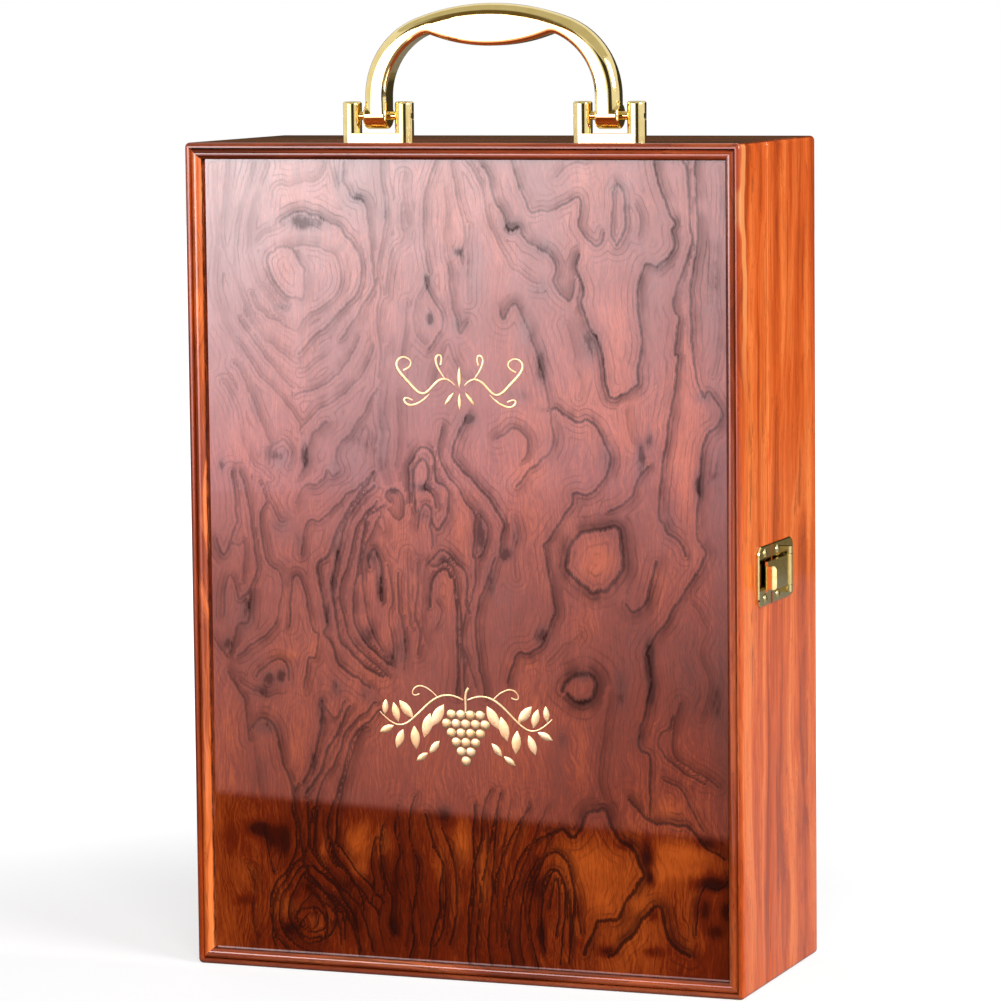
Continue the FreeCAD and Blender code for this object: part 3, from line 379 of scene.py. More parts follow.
    (0.65, 0.8, -29.5, 170.5, -29.5, 157.5, -26.5, 141, -27.5, 131),
    (0.45, 0.8, -25, 179, -25, 156, -23.5, 148),
    (0.6, 0.8, -21, 175, -20.5, 164.5, -22, 153.5, -20, 146.5, -21, 137),
    (0.45, 0.8, -17.5, 174, -19, 153, -17, 141.5),
    (0.95, 0.9, -23.5, 200, -24, 215, -22, 219, -16.5, 224, -13, 220.5, -12, 210.5, -7, 207, -6.5, 202.5, -7, 196.5,
     -9.5, 192, -12, 189.5, -14.5, 194),
    (0.85, 0.9, -21, 197, -22, 210.5, -20.5, 216, -17.5, 218.5, -15.5, 216.5, -15.5, 211, -17, 207, -13.5, 203.5,
     -12, 199),
    (0.7, 0.8, -20, 190, -19.5, 196, -17, 199.5, -14.5, 196.5, -15, 191.5, -14, 187.5, -14.5, 181.5),
    (0.85, 0.9, -15.5, 175, -12.5, 179, -9, 180.5, 1, 171.5, 1, 159, 2.5, 154.5),
    (0.75, 0.8, -15, 174, -13, 174, -9, 176, -7, 175, -3, 167, 0, 121),
    (0.9, 0.9, -15, 158, -15, 165, -12, 171, -8, 173, -6, 170, -4, 165, -3, 133, -4, 121),
    (0.55, 0.8, -12, 159, -10, 154.5, -12, 150),
    (0.75, 0.8, 4, 182, 5, 167, -1, 146, 5, 124),
    (0.85, 0.8, 14, 178, 5, 151, 9, 121),
    (0.8, 0.8, -9, 232, -10, 219, 4, 198, 5, 192, 4, 179),
    (0.95, 0.9, 2, 237, -4, 224, -3, 217, 5, 210, 17, 195, 17, 188, 16, 181),
    (0.7, 0.8, 6.5, 196.5, 10, 192.5, 10.5, 187, 9, 181.5, 6.5, 178),
    (0.45, 0.8, 22.5, 195, 24, 187.5, 22.5, 181.5, 23.5, 170),
    # The knot at the lower left, and the rings that close in below it
    (0.75, 0.9, -108, 125.5, -104.5, 119.5, -101.5, 115.5, -100, 110, -98.5, 97),
    (0.5, 0.8, -102.5, 123, -98, 119, -92.5, 117, -86.5, 116.5, -81, 119),
    (0.75, 0.9, -94.5, 124.5, -91.5, 128, -84, 132.5, -80.5, 129.5, -80, 123.5),
    (0.8, 1, -97, 103, -93, 106, -88, 105, -86, 101, -83, 88, -79, 77, -75, 51),
    (0.85, 1, -64.5, 115, -66, 102, -71.5, 84.5, -74, 80),
    (0.9, 1, -52.5, 113, -56.5, 106.5, -58, 101.5, -61.5, 96.5, -66, 85, -73, 75.5),
    (0.7, 0.9, -54.5, 115, -58.5, 109, -62, 110.5, -63.5, 113),
    (0.85, 0.8, -40, 116, -53, 104, -58, 92, -67, 76, -70, 52),
    (0.85, 0.8, -38, 113, -51, 101, -53, 95, -57, 81, -62, 68, -63, 61, -61, 54, -58, 48, -40, 25),
    (0.85, 0.8, -44, 105, -49, 100, -58, 71, -59, 59, -57, 52, -38, 31),
    (0.7, 0.9, -72, 71, -71, 52, -62, 41, -56, 35, -50, 29, -46, 21, -43, 10),
    (0.55, 0.8, -65, 69, -65, 58.5, -63.5, 51, -59.5, 45),
    (0.7, 0.9, -74, 50, -87, 31, -89, 17, -88, 9),
    (0.8, 1, -74.5, 46.5, -69, 37, -59, 30, -55.5, 26, -50.5, 14.5, -49.5, 8),
    (0.6, 0.9, -73, 35.5, -63, 27, -59, 21.5, -57.5, 11.5),
    (0.7, 1, -78, 22, -75, 26, -69, 26.5, -65, 23.5, -64, 17, -67.5, 12, -74, 12, -77.5, 15.5, -75.5, 20),
    (0.6, 0.9, -84, 16.5, -80.5, 12, -76, 8.5, -68.5, 7.5),
    (0.45, 0.8, -97.5, 40.5, -97.5, 20.5, -96.5, 9),
    (0.45, 0.8, -87, 50.5, -90, 44.5, -87.5, 40, -83.5, 43.5),
    (0.45, 0.8, -96.5, 94.5, -94, 75),
    # Upright rings along the bottom
    (0.5, 0.9, -31, 73, -30, 57, -26, 31, -28, 13),
    (0.45, 0.9, -25, 61, -21, 14),
    (0.7, 0.9, -18, 69, -16, 60, -10, 44, -11, 22, -15, 13),
    (0.75, 0.9, -11, 63, -7, 54, -5, 43, -5, 29, -8, 14),
    (0.75, 0.9, 4, 75, 3, 56, 4, 42, 0, 14),
    (0.6, 0.8, 8, 77, 9, 55, 4, 15),
    (0.7, 0.8, 14, 76, 9, 15),
    (0.6, 0.8, 20, 77, 14, 42, 13, 17),
    (0.6, 0.8, 28, 77, 18, 47, 15, 16),
    (0.6, 0.8, 36, 76, 21, 38, 19, 18),
    (0.6, 0.8, 41, 69, 30, 47, 26, 35, 27, 19),
    (0.8, 0.9, 33.5, 35, 34, 43.5, 37, 48.5, 39.5, 49.5, 42, 46.5, 44, 40.5, 45.5, 34, 45.5, 16.5),
    (0.7, 0.8, 31.5, 49, 36, 55.5, 40.5, 56, 44, 52.5, 46.5, 46, 48.5, 37.5, 50, 23.5),
    (0.55, 0.8, -37, 60, -40, 48, -38, 37, -40, 22, -38, 10),
    # Fine rings at the foot
    (0.9, 0.7, -76.5, 79.5, -79, 69.5, -77.5, 60, -78, 50, -82, 42, -87.5, 35, -90, 28, -88, 14.5, -83.5, 8.5),
    (0.8, 0.6, -69.5, 70, -71.5, 60.5, -72.5, 52.5, -75, 44.5, -80, 37.5, -84.5, 30.5, -86, 22.5, -84, 14.5,
     -77.5, 9.5),
    (0.8, 0.6, -66.5, 70.5, -68.5, 60.5, -68, 50.5, -62.5, 42.5),
    (0.9, 0.7, -61.5, 70.5, -63, 61, -62, 53, -58.5, 46.5, -53.5, 41, -49, 34.5, -46.5, 27),
    (0.9, 0.7, -72, 44.5, -79, 33.5, -81.5, 26.5, -80.5, 20, -75.5, 14.5, -67.5, 13.5, -61.5, 17, -59.5, 24,
     -62.5, 30.5, -72, 42.5),
    (0.8, 0.6, -71, 32, -76, 27, -77.5, 21, -74, 16.5, -67.5, 16, -64, 20, -64, 25.5, -67.5, 30, -71, 32),
    (0.8, 0.6, -72, 24, -74.5, 21, -72.5, 17.5, -68.5, 18.5, -67.5, 22.5, -70, 24.5),
    (1, 0.8, -70, 44, -62.5, 38.5, -56.5, 31.5, -52, 24.5, -48.5, 10),
    (0.8, 0.6, -74, 39.5, -67.5, 35, -60.5, 29, -56, 21.5, -55.5, 13.5),
    (0.8, 0.6, -92.5, 59, -88.5, 41.5, -85, 48, -83.5, 55.5),
    (0.6, 0.6, -100.5, 43, -97.5, 33.5, -98.5, 21.5, -96, 13),
    (0.8, 0.6, -41, 58, -43.5, 48.5, -42, 38.5, -43, 31),
    (0.9, 0.7, -38, 63, -39.5, 52.5, -37.5, 42, -34, 32.5, -35, 23.5, -33, 17),
    (0.8, 0.6, -30.5, 72.5, -32.5, 62.5, -30.5, 52, -32.5, 43, -30, 33.5),
    (0.9, 0.7, -23.5, 76.5, -26, 65.5, -24.5, 55, -21.5, 45.5, -25, 26, -24.5, 16.5, -26, 8),
    (0.9, 0.8, -15, 55.5, -11, 48, -12.5, 38.5, -12.5, 29, -15.5, 19, -17.5, 8.5),
    (0.9, 0.7, 10.5, 81, 7, 71, 6.5, 61.5, 4, 52, 2, 40, 0.5, 26.5, 0, 13, 0.5, 6.5),
    (0.8, 0.6, 15.5, 80.5, 7.5, 46.5, 4, 19, 3.5, 7.5),
    (0.8, 0.6, 29, 76, 22.5, 66.5, 17.5, 56.5, 13, 44.5, 10.5, 31, 9, 17.5, 10, 7),
    (0.8, 0.7, 37, 62.5, 28.5, 59, 22.5, 51, 19.5, 41, 17, 29.5, 18, 18, 20, 8),
    (0.9, 0.7, 31.5, 7.5, 28.5, 19, 28, 32, 30.5, 44, 35, 53.5, 40, 56.5, 44.5, 53, 47, 45, 47.5, 33.5, 45, 9.5),
    (0.9, 0.7, 34.5, 13.5, 33, 25, 33.5, 36.5, 37, 46, 39.5, 49, 42.5, 44.5, 43.5, 35, 41, 9),
    (0.8, 0.6, 37, 32.5, 38, 41.5, 39.5, 44.5, 41, 38.5, 40.5, 29, 39, 21.5),
    (0.8, 0.6, 25.5, 9, 23.5, 18.5, 24, 32, 26.5, 43.5, 32, 53.5),
    (0.8, 0.7, 100.5, 25, 102, 38.5, 105, 46, 110, 44.5, 115, 48.5),
)
veneer_stains = (
    (-69, 317, 9, 4, 0.6), (-46, 327, 4, 3, 0.5), (-54, 334, 3, 5, 0.3), (-80, 281, 4, 2, 0.4), (-82, 218, 5, 5, 0.8),
    (-71, 219, 2, 6, 0.6), (-109, 214, 2, 3, 0.5), (-94, 240, 2, 6, 0.3), (-47, 218, 8, 15, 0.4),
    (-58, 215, 3, 4, 0.5), (-14, 277, 2, 3, 0.8), (-15, 293, 2, 4, 0.5), (-2, 275, 3, 3, 0.6), (-1, 305, 3, 2, 0.5),
    (6, 297, 6, 17, 0.3), (-33, 321, 2, 4, 0.3), (23, 315, 4, 3, 0.6), (37, 307, 4, 3, 0.6), (35, 290, 6, 4, 0.4),
    (29, 273, 3, 6, 0.6), (35, 258, 3, 10, 0.5), (25, 246, 5, 3, 0.4), (3, 236, 3, 2, 0.7), (-36, 225, 4, 14, 0.4),
    (69, 332, 4, 3, 0.5), (74, 325, 2, 3, 0.3), (86, 300, 2, 2, 0.5), (57, 268, 4, 6, 0.7), (78, 221, 2, 7, 0.8),
    (82, 229, 2, 4, 0.5), (63, 222, 3, 7, 0.4), (103, 211, 2, 5, 0.8), (105, 247, 3, 2, 0.6), (109, 286, 5, 55, 0.3),
    (110, 216, 4, 20, 0.3), (48, 223, 10, 14, 0.2), (81, 139, 2, 8, 0.9), (82, 125, 2, 5, 0.6), (77, 105, 2, 4, 0.5),
    (69, 126, 3, 8, 0.5), (52, 131, 4, 2, 0.7), (52, 120, 4, 2, 0.6), (90, 195, 4, 9, 0.3), (-99, 153, 3, 6, 0.6),
    (-82, 189, 4, 4, 0.4), (-108, 138, 2, 3, 0.5), (-75, 183, 2, 4, 0.4), (-41, 177, 3, 3, 0.6),
    (-38, 166, 2, 8, 0.6), (-28, 140, 3, 8, 0.5), (-31, 205, 2, 1, 0.7), (-18, 207, 4, 2, 0.8), (-18, 196, 2, 3, 0.5),
    (-8, 177, 4, 2, 0.5), (8, 188, 2, 9, 0.6), (18, 180, 4, 3, 0.6), (12, 169, 2, 5, 0.8), (23, 187, 2, 5, 0.4),
    (34, 147, 3, 4, 0.7), (-57, 180, 2, 7, 0.6), (-59, 164, 2, 5, 0.6), (-44, 144, 4, 5, 0.5), (-33, 134, 4, 5, 0.5),
    (-62, 151, 2, 5, 0.5), (-89, 124, 3, 3, 0.8), (-83, 125, 2, 3, 0.8), (-93, 118, 6, 3, 0.4), (-91, 103, 6, 3, 0.8),
    (-65, 110, 2, 7, 0.8), (-58, 121, 3, 4, 0.6), (-69, 90, 2, 8, 0.4), (-72, 77, 2, 3, 0.5), (-93, 83, 5, 8, 0.3),
    (-44, 119, 5, 4, 0.4), (-95, 59, 5, 3, 0.8), (-88, 56, 4, 5, 0.8), (-83, 55, 3, 9, 0.7), (-102, 28, 4, 2, 0.4),
    (-81, 17, 4, 3, 0.6), (-72, 35, 3, 3, 0.4), (-52, 23, 4, 9, 0.4), (-53, 38, 4, 4, 0.3), (-108, 54, 4, 9, 0.3),
    (-10, 70, 4, 4, 0.6), (-34, 21, 2, 5, 0.7), (33, 22, 2, 6, 0.7), (30, 43, 3, 9, 0.4), (-32, 39, 3, 13, 0.3),
    (80, 58, 3, 7, 0.9), (81, 48, 2, 3, 0.6), (108, 47, 8, 3, 0.9), (105, 36, 3, 6, 0.6), (114, 36, 3, 5, 0.6),
    (109, 27, 4, 3, 0.6), (62, 16, 4, 2, 0.7), (82, 17, 5, 2, 0.5), (82, 33, 2, 3, 0.6), (70, 61, 4, 2, 0.5),
    (106, 64, 6, 3, 0.5), (111, 122, 4, 26, 0.3), (99, 129, 8, 17, 0.2), (41, 92, 4, 11, 0.3), (43, 104, 3, 4, 0.4),
    (23, 160, 10, 14, 0.2), (59, 179, 9, 10, -0.5), (70, 273, 7, 22, -0.3), (-78, 297, 6, 8, -0.2),
    (54, 152, 11, 11, -0.3), (72, 236, 7, 13, -0.2), (97, 216, 5, 26, -0.2), (86, 170, 5, 13, -0.2),
    (54, 53, 15, 13, -0.6), (94, 59, 12, 4, -0.5), (89, 51, 12, 4, -0.4), (79, 38, 5, 5, -0.3), (99, 24, 4, 6, -0.2),
    (60, 37, 7, 6, -0.3), (-49, 56, 7, 10, -0.7), (-49, 44, 4, 4, -0.5), (-65, 51, 2, 8, -0.3), (-82, 26, 5, 5, -0.3),
    (-69, 19, 4, 4, -0.3), (-2, 59, 4, 9, -0.6), (7, 45, 2, 14, -0.5), (-12, 48, 2, 10, -0.4), (-5, 33, 2, 17, -0.2),
    (-37, 57, 4, 8, -0.5), (-82, 134, 8, 3, -0.3), (-67, 137, 4, 9, -0.2), (-107, 103, 4, 11, -0.2),
    (-76, 94, 4, 9, -0.2), (27, 135, 8, 4, -0.2), (-8, 163, 4, 10, -0.3), (-8, 133, 4, 10, -0.2),
    (-1, 190, 4, 13, -0.3), (52, 94, 4, 15, -0.2), (88, 77, 7, 5, -0.3), (28, 214, 11, 6, -0.2),
    (-103, 39, 4, 9, -0.2),
)


def edit_mesh(choice="SELECT"):
    """Start to edit the active mesh, with all of it or none of it selected."""
    bpy.ops.object.mode_set(mode="EDIT")
    bpy.ops.mesh.select_all(action=choice)


panel_low, panel_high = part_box("front_panel")
panel_wide, panel_thick, panel_tall = (high - low for low, high in zip(panel_low, panel_high))
squares_across, squares_up = 265, 330
bpy.ops.mesh.primitive_grid_add(
    x_subdivisions=squares_across, y_subdivisions=squares_up, size=1, rotation=(math.radians(90), 0, 0),
    location=((panel_low[0] + panel_high[0]) / 2, panel_low[1], (panel_low[2] + panel_high[2]) / 2))
panel = bpy.context.object
panel.name = "veneered_panel"
panel.scale = (panel_wide, panel_tall, 1)
bpy.ops.object.transform_apply(location=True, rotation=True, scale=True)
edit_mesh("DESELECT")
bpy.ops.mesh.select_mode(type="EDGE")
bpy.ops.mesh.select_non_manifold()
bpy.ops.mesh.extrude_edges_move(TRANSFORM_OT_translate={"value": (0, panel_thick, 0)})
bpy.ops.mesh.edge_face_add()
bpy.ops.mesh.select_all(action="SELECT")
bpy.ops.mesh.normals_make_consistent(inside=False)
bpy.ops.mesh.select_mode(type="VERT")
bpy.ops.object.mode_set(mode="OBJECT")


def ring_course(points, step=0.5, jag_size=(0.6, 1.4)):
    """Points every half millimetre along one ring, smooth through its own points and a little jagged."""
    closed = points[0] == points[-1]
    ends = [points[-2] if closed else points[0], *points, points[1] if closed else points[-1]]
    ends = numpy.array(ends, dtype=float)
    runs = []
    for before, start, stop, after in zip(ends, ends[1:], ends[2:], ends[3:]):
        count = max(2, int(numpy.linalg.norm(stop - start) / step))
        t = numpy.linspace(0, 1, count, endpoint=False)[:, None]
        runs.append((2 * start + (stop - before) * t + (2 * before - 5 * start + 4 * stop - after) * t ** 2
                     + (3 * start - before - 3 * stop + after) * t ** 3) / 2)
    course = numpy.concatenate([*runs, ends[-2:-1]])
    jag = numpy.array([noise.noise_vector((right * 0.24, up * 0.15, 3.1)) for right, up in course])
    return course + jag[:, :2] * jag_size


# Each point of the panel takes the darkness of the ring nearest to it, and how far off and on which side that is
reach, far_off, part_length = 12, 15.0, 60
noise.seed_set(7)
corners = numpy.empty(len(panel.data.vertices) * 3)
panel.data.vertices.foreach_get("co", corners)
rights, ups = corners[0::3] * 1000, corners[2::3] * 1000
ring_dark, stain_dark = numpy.zeros(len(rights)), numpy.zeros(len(rights))
ring_gap, ring_side = numpy.full(len(rights), far_off), numpy.full(len(rights), far_off)
for dark, half_width, *places in veneer_lines:
    course = ring_course(list(zip(places[::2], places[1::2])))
    heading = numpy.gradient(course, axis=0)
    heading /= numpy.linalg.norm(heading, axis=1)[:, None]
    for part in numpy.array_split(numpy.arange(len(course)), len(course) // part_length + 1):
        low, high = course[part].min(axis=0) - reach, course[part].max(axis=0) + reach
        near = numpy.nonzero((rights > low[0]) & (rights < high[0]) & (ups > low[1]) & (ups < high[1]))[0]
        right_off = rights[near, None] - course[part, 0]
        up_off = ups[near, None] - course[part, 1]
        gaps = numpy.hypot(right_off, up_off)
        closest = (numpy.arange(len(near)), gaps.argmin(axis=1))
        gap = gaps[closest] / half_width
        run = heading[part][closest[1]]
        side = (run[:, 0] * up_off[closest] - run[:, 1] * right_off[closest]) / half_width
        nearer = gap < ring_gap[near]
        ring_gap[near[nearer]] = gap[nearer]
        ring_side[near[nearer]] = side[nearer]
        ring_dark[near[nearer]] = dark
for x, z, half_width, half_height, dark in veneer_stains:
    stain_dark += dark * numpy.exp(-((rights - x) / half_width) ** 2 - ((ups - z) / half_height) ** 2)
masks = {"ring_dark": ring_dark, "ring_gap": ring_gap, "ring_side": ring_side, "stain_dark": stain_dark}
for name, values in masks.items():
    panel.data.attributes.new(name, "FLOAT", "POINT").data.foreach_set("value", values.astype(numpy.float32))

# The wood between the rings: fibres, flecks, smoky clouds and wide patches, drawn out upwards, in millimetres
finish, tree, shader = new_finish("figured_veneer")
place = own_place(tree)
flat_place = reckon_vector("MULTIPLY", place, (1000, 0, 1000))
bend = slide(drawn_cloud(flat_place, 0.05, 0.025, 3), 0.2, 0.8, -6.0, 6.0)
bent_place = reckon_vector("ADD", flat_place, put(tree, "ShaderNodeCombineXYZ", X=bend).outputs[0])
fibre = drawn_cloud(bent_place, 1.2, 0.07, 3, 0.6)
fleck = drawn_cloud(flat_place, 1.1, 0.3, 2, 0.6)
smoke = drawn_cloud(flat_place, 0.09, 0.045, 4, 0.6)
patch = drawn_cloud(flat_place, 0.022, 0.011)
gap = drawn_cloud(flat_place, 0.09, 0.06)

# The rings: a dark core, a shaded flank on one side and fainter echoes further off, with stains between them
dark, near, side, stain_and_shade = (put(tree, "ShaderNodeAttribute", {"attribute_name": name}).outputs["Fac"]
                           for name in masks)
wobble = slide(fleck, 0.2, 0.8, -0.6, 0.6)
side = reckon("ADD", side, wobble)
core = times(spread(reckon("ABSOLUTE", side), 0.1, 1.15, 1.0, 0.0), spread(near, 0.8, 1.25, 1.0, 0.0))
ring = times(dark, core, 0.9, slide(fleck, 0.3, 0.7, 0.75, 1.1), spread(gap, 0.3, 0.6, 0.75, 1.05))
flank = times(spread(side, -0.4, 0.7, 0.15, 1.0), spread(near, 0.3, 7.0, 1.0, 0.0),
              spread(smoke, 0.32, 0.6, 0.2, 1.0), dark)
phase = weigh(smoke, 7.0, weigh(near, 2.2, wobble))
echo = times(spread(reckon("SINE", phase), 0.45, 1.0), spread(near, 1.2, 2.4),
             spread(near, 3.0, 12.0, 1.0, 0.3), spread(gap, 0.38, 0.58, 0.1, 1.0))
blotch = times(stain_and_shade, spread(smoke, 0.35, 0.65, 0.35, 1.5))
blotch = weigh(reckon("SUBTRACT", fleck, 0.5), 0.7, blotch)
up = axes_of(flat_place)["Z"]
shade = times(spread(blotch, 0.2, 0.75), spread(up, 60, 100, 0.55, 1.0))
shade = weigh(echo, 0.45, weigh(flank, 0.95, shade))
shade = times(shade, slide(fibre, 0.3, 0.7, 0.75, 1.15), clamp=True)

tone = times(fibre, 0.34)
for value, weight in ((patch, 0.45), (smoke, -0.12), (fleck, 0.14), (stain_and_shade, -0.32)):
    tone = weigh(value, weight, tone)
veneer = shade_ramp(slide(tone, 0.24, 0.6),
                    (0.0, (0.045, 0.0050, 0.0016)), (0.45, (0.125, 0.0135, 0.0028)), (1.0, (0.360, 0.064, 0.0090)))
veneer = blend_colour(times(shade, 0.85), veneer, (0.020, 0.004, 0.003))
veneer = blend_colour(spread(ring, 0.0, 0.70, 0.0, 0.82), veneer, (0.014, 0.0035, 0.0025))
polish = times(slide(fibre, 0.25, 0.75, 0.93, 1.01), slide(smoke, 0.32, 0.68, 1.01, 0.86))
polish = weigh(shade, -0.55, weigh(ring, -0.5, polish), clamp=True)
height = use_effect(lacquer_ripple, place)["Height"]
wire(shader, Base_Color=veneer, Roughness=weigh(fibre, 0.05, 0.05), Coat_Weight=polish,
     Coat_Roughness=0.02, Coat_IOR=1.76, Specular_IOR_Level=0.12, IOR=1.52, Normal=relief(height, 0.12, 0.0004))
panel.data.materials.append(finish)
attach(panel, "lid")
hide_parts("front_panel")

# Bead: four half-round sticks of one wood, mitred at the corners over the panel's edge. The left one is a lighter,
# lit copy and the other three a darker, shaded copy: painted light and shade.
# Painted shade darkens the valleys beside the half round, most of it on the panel's side.
painted_shade_brown = (0.024, 0.005, 0.003)
groove_shade = (-0.0500, -0.0491, 0.95, painted_shade_brown)
valley_shade = (-0.0507, -0.0495, 0.95, painted_shade_brown)
upright_valley_shade = (*valley_shade, 0, 0.1162, 0.1176)
level_valley_shade = (*valley_shade, 0.175, 0.1695, 0.1713)
lit_bead_tones = ((0.24, 0.036, 0.008), (0.72, 0.165, 0.038), (0.92, 0.350, 0.110))
shaded_bead_tones = ((0.08, 0.012, 0.004), (0.24, 0.038, 0.010), (0.42, 0.090, 0.024))
for side, tones, level, stain_and_shade in (("left", lit_bead_tones, False, groove_shade),
                                  ("bottom", shaded_bead_tones, True, level_valley_shade),
                                  ("right", shaded_bead_tones, False, upright_valley_shade),
                                  ("top", shaded_bead_tones, True, level_valley_shade)):
    dress(lacquered_board("bead_wood_" + side, *tones, level=level, stain_and_shade=stain_and_shade, index=1.7), "bead_" + side)

# Foil ornaments: pale gold foil stamped on the lacquered panel, a flourish above and grapes with leaves below.
# Both stand a fraction of a millimetre proud of the lacquer and are a little uneven, as stamped foil is.
gold_foil, tree, shader = new_finish("gold_foil")
place = own_place(tree)
crinkle = cloud(place, 900.0, 4, 0.6)
wire(shader, Roughness=spread(crinkle, 0.3, 0.7, 0.26, 0.42), Metallic=0.85,
     Base_Color=shade_ramp(cloud(place, 220.0, 3), (0.3, (0.72, 0.55, 0.26)), (0.7, (0.86, 0.74, 0.46))),
     Normal=relief(crinkle, 0.25, 0.0001))
panel_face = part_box("front_panel")[0][1]
foil_sink = 0.00005
foil_height = 0.0003


def select_only(*pieces):
    bpy.ops.object.select_all(action="DESELECT")
    for piece in pieces:
        piece.select_set(True)
    bpy.context.view_layer.objects.active = pieces[0]


def upright_at(x, z, turn=0.0, size=(1, 1, 1)):
    """Stand a flat shape, drawn lying down, at a place on the panel's face in millimetres."""
    return (Matrix.Translation((x / 1000, panel_face + foil_sink, z / 1000))
            @ Matrix.Rotation(math.radians(90), 4, "X") @ Matrix.Rotation(math.radians(turn), 4, "Z")
            @ Matrix.Diagonal((*size, 1)))


def stroke(middle, mirror, *points):
    """A tapering stroke of foil: (right, up, half width) in millimetres from the ornament's middle."""
    line = bpy.data.curves.new("foil_stroke", "CURVE")
    line.dimensions = "3D"
    line.bevel_depth = 0.001
    line.bevel_resolution = 2
    line.use_fill_caps = True
    spline = line.splines.new("NURBS")
    spline.points.add(len(points) - 1)
    for point, (right, up, half) in zip(spline.points, points):
        point.co = (right * mirror / 1000, up / 1000, 0, 1)
        point.radius = half
    spline.order_u = 4
    spline.use_endpoint_u = True
    spline.resolution_u = 8
    drawn = bpy.data.objects.new("foil_stroke", line)
    bpy.context.scene.collection.objects.link(drawn)
    drawn.matrix_world = upright_at(*middle, size=(1, 1, foil_height * 1000))
    select_only(drawn)
    bpy.ops.object.convert(target="MESH")
    return bpy.context.object


def finish_foil(name, shapes):
    """Join the shapes of one ornament, put their place into the mesh and fix it to the lid."""
    select_only(*shapes)
    bpy.ops.object.make_single_user(type="SELECTED_OBJECTS", object=True, obdata=True)
    bpy.ops.object.transform_apply(location=True, rotation=True, scale=True)
    bpy.ops.object.join()
    piece = bpy.context.object
    piece.name = name
    piece.data.materials.clear()
    piece.data.materials.append(gold_foil)
    edit_mesh()
    bpy.ops.mesh.remove_doubles(threshold=0.000001)
    bpy.ops.mesh.normals_make_consistent(inside=False)
    bpy.ops.object.mode_set(mode="OBJECT")
    bpy.ops.object.shade_smooth_by_angle(angle=math.radians(40))
    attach(piece, "lid")


# A leaf: a lozenge with its two flanks rounded, raised and crowned along its rib
waist, flank_rounding, rib_inset = 0.62, 0.0007, 0.00012
bpy.ops.mesh.primitive_circle_add(vertices=4, radius=0.001, fill_type="NGON", location=(0, 0, 0))
leaf = bpy.context.object
leaf.name = "foil_leaf"
edit_mesh("DESELECT")
bpy.ops.object.mode_set(mode="OBJECT")
for corner in leaf.data.vertices:
    corner.select = abs(corner.co.y) < 1e-6
bpy.ops.object.mode_set(mode="EDIT")
bpy.ops.transform.resize(value=(waist, 1, 1))
bpy.ops.mesh.bevel(offset=flank_rounding, offset_type="OFFSET", segments=6, affect="VERTICES", profile=0.5)
bpy.ops.mesh.select_all(action="SELECT")
bpy.ops.mesh.extrude_region_move(TRANSFORM_OT_translate={"value": (0, 0, foil_height * 0.6)})
bpy.ops.mesh.inset(thickness=rib_inset, depth=foil_height * 0.4)
bpy.ops.object.mode_set(mode="OBJECT")

# A grape: a low dome
bpy.ops.mesh.primitive_uv_sphere_add(segments=20, ring_count=10, radius=0.001, location=(0, 0, 0))
grape = bpy.context.object
grape.name = "foil_grape"
edit_mesh()
bpy.ops.transform.resize(value=(1, 1, foil_height * 1000 * 1.2))
bpy.ops.object.mode_set(mode="OBJECT")


def stamped(shape, middle, right, up, turn, wide, long, mirror=1):
    copy = shape.copy()
    copy.data = shape.data.copy()
    bpy.context.scene.collection.objects.link(copy)
    copy.matrix_world = upright_at(middle[0] + right * mirror, middle[1] + up, turn * mirror, (wide, long, 1))
    return copy


middle = (-1.0, 249.5)
flourish = []
for mirror in (-1, 1):
    for points in (((2.2, 0.4, 0.2), (8, 6.8, 0.75), (15, -7.6, 0.45), (22, 1.0, 0.9), (30.5, 8.5, 0.6),
                    (24, 14, 0.4), (19.5, 8.2, 0.35), (25, 6.2, 0.5)),
                   ((6, 2.6, 0.2), (9.5, 6.5, 0.55), (12.5, 13.5, 0.6), (6.8, 13.6, 0.4), (8.4, 8.8, 0.45)),
                   ((13.5, -3.4, 0.2), (17, -7.2, 0.55), (25, -10.6, 0.7), (25.8, -3.6, 0.4), (21, -6.2, 0.4))):
        flourish.append(stroke(middle, mirror, *points))
    flourish.append(stamped(leaf, middle, 4.6, -5.2, 38, 1.9, 3.6, mirror))
flourish.append(stamped(leaf, middle, 0, 3.6, 0, 2.2, 4.6))
flourish.append(stamped(leaf, middle, 0, -6.4, 0, 2.0, 3.6))
finish_foil("foil_flourish", flourish)

middle = (0.0, 104.0)
grape_radius, grape_pitch, row_pitch, top_row = 2.1, 4.3, 3.9, 8.2
bunch = []
for row, count in enumerate((4, 5, 4, 3, 2, 1)):
    for index in range(count):
        bunch.append(stamped(grape, middle, (index - (count - 1) / 2) * grape_pitch, top_row - row * row_pitch, 0,
                             grape_radius, grape_radius))
bunch.append(stroke(middle, 1, (0, 9, 0.5), (0.6, 13, 0.5), (-1.0, 16.5, 0.6), (1.5, 19.5, 0.7)))
for mirror in (-1, 1):
    bunch.append(stroke(middle, mirror, (1.0, 14.4, 0.4), (9, 18.5, 0.6), (19, 10.5, 0.6), (27, 1.5, 0.5),
                        (33, 2.5, 0.4), (38.5, 8, 0.3)))
    bunch.append(stroke(middle, mirror, (12, 14.6, 0.3), (17, 20, 0.4), (24, 20.5, 0.4), (24.5, 14.2, 0.3),
                        (20.5, 16.2, 0.35)))
    for right, up, turn, size in (
            (12.4, 7.4, -150, 5.6), (17.2, 3.0, -165, 5.4), (22.6, -2.4, 175, 5.0), (26.5, 9.4, -40, 4.8),
            (31.2, 8.0, -15, 4.2), (29.6, -3.2, -160, 4.4), (35.4, 0.8, -115, 3.6), (36.0, 10.0, 5, 3.4),
            (14.0, -6.0, -140, 3.6), (19.6, -10.4, -125, 3.2)):
        bunch.append(stamped(leaf, middle, right, up, turn, size, size, mirror))
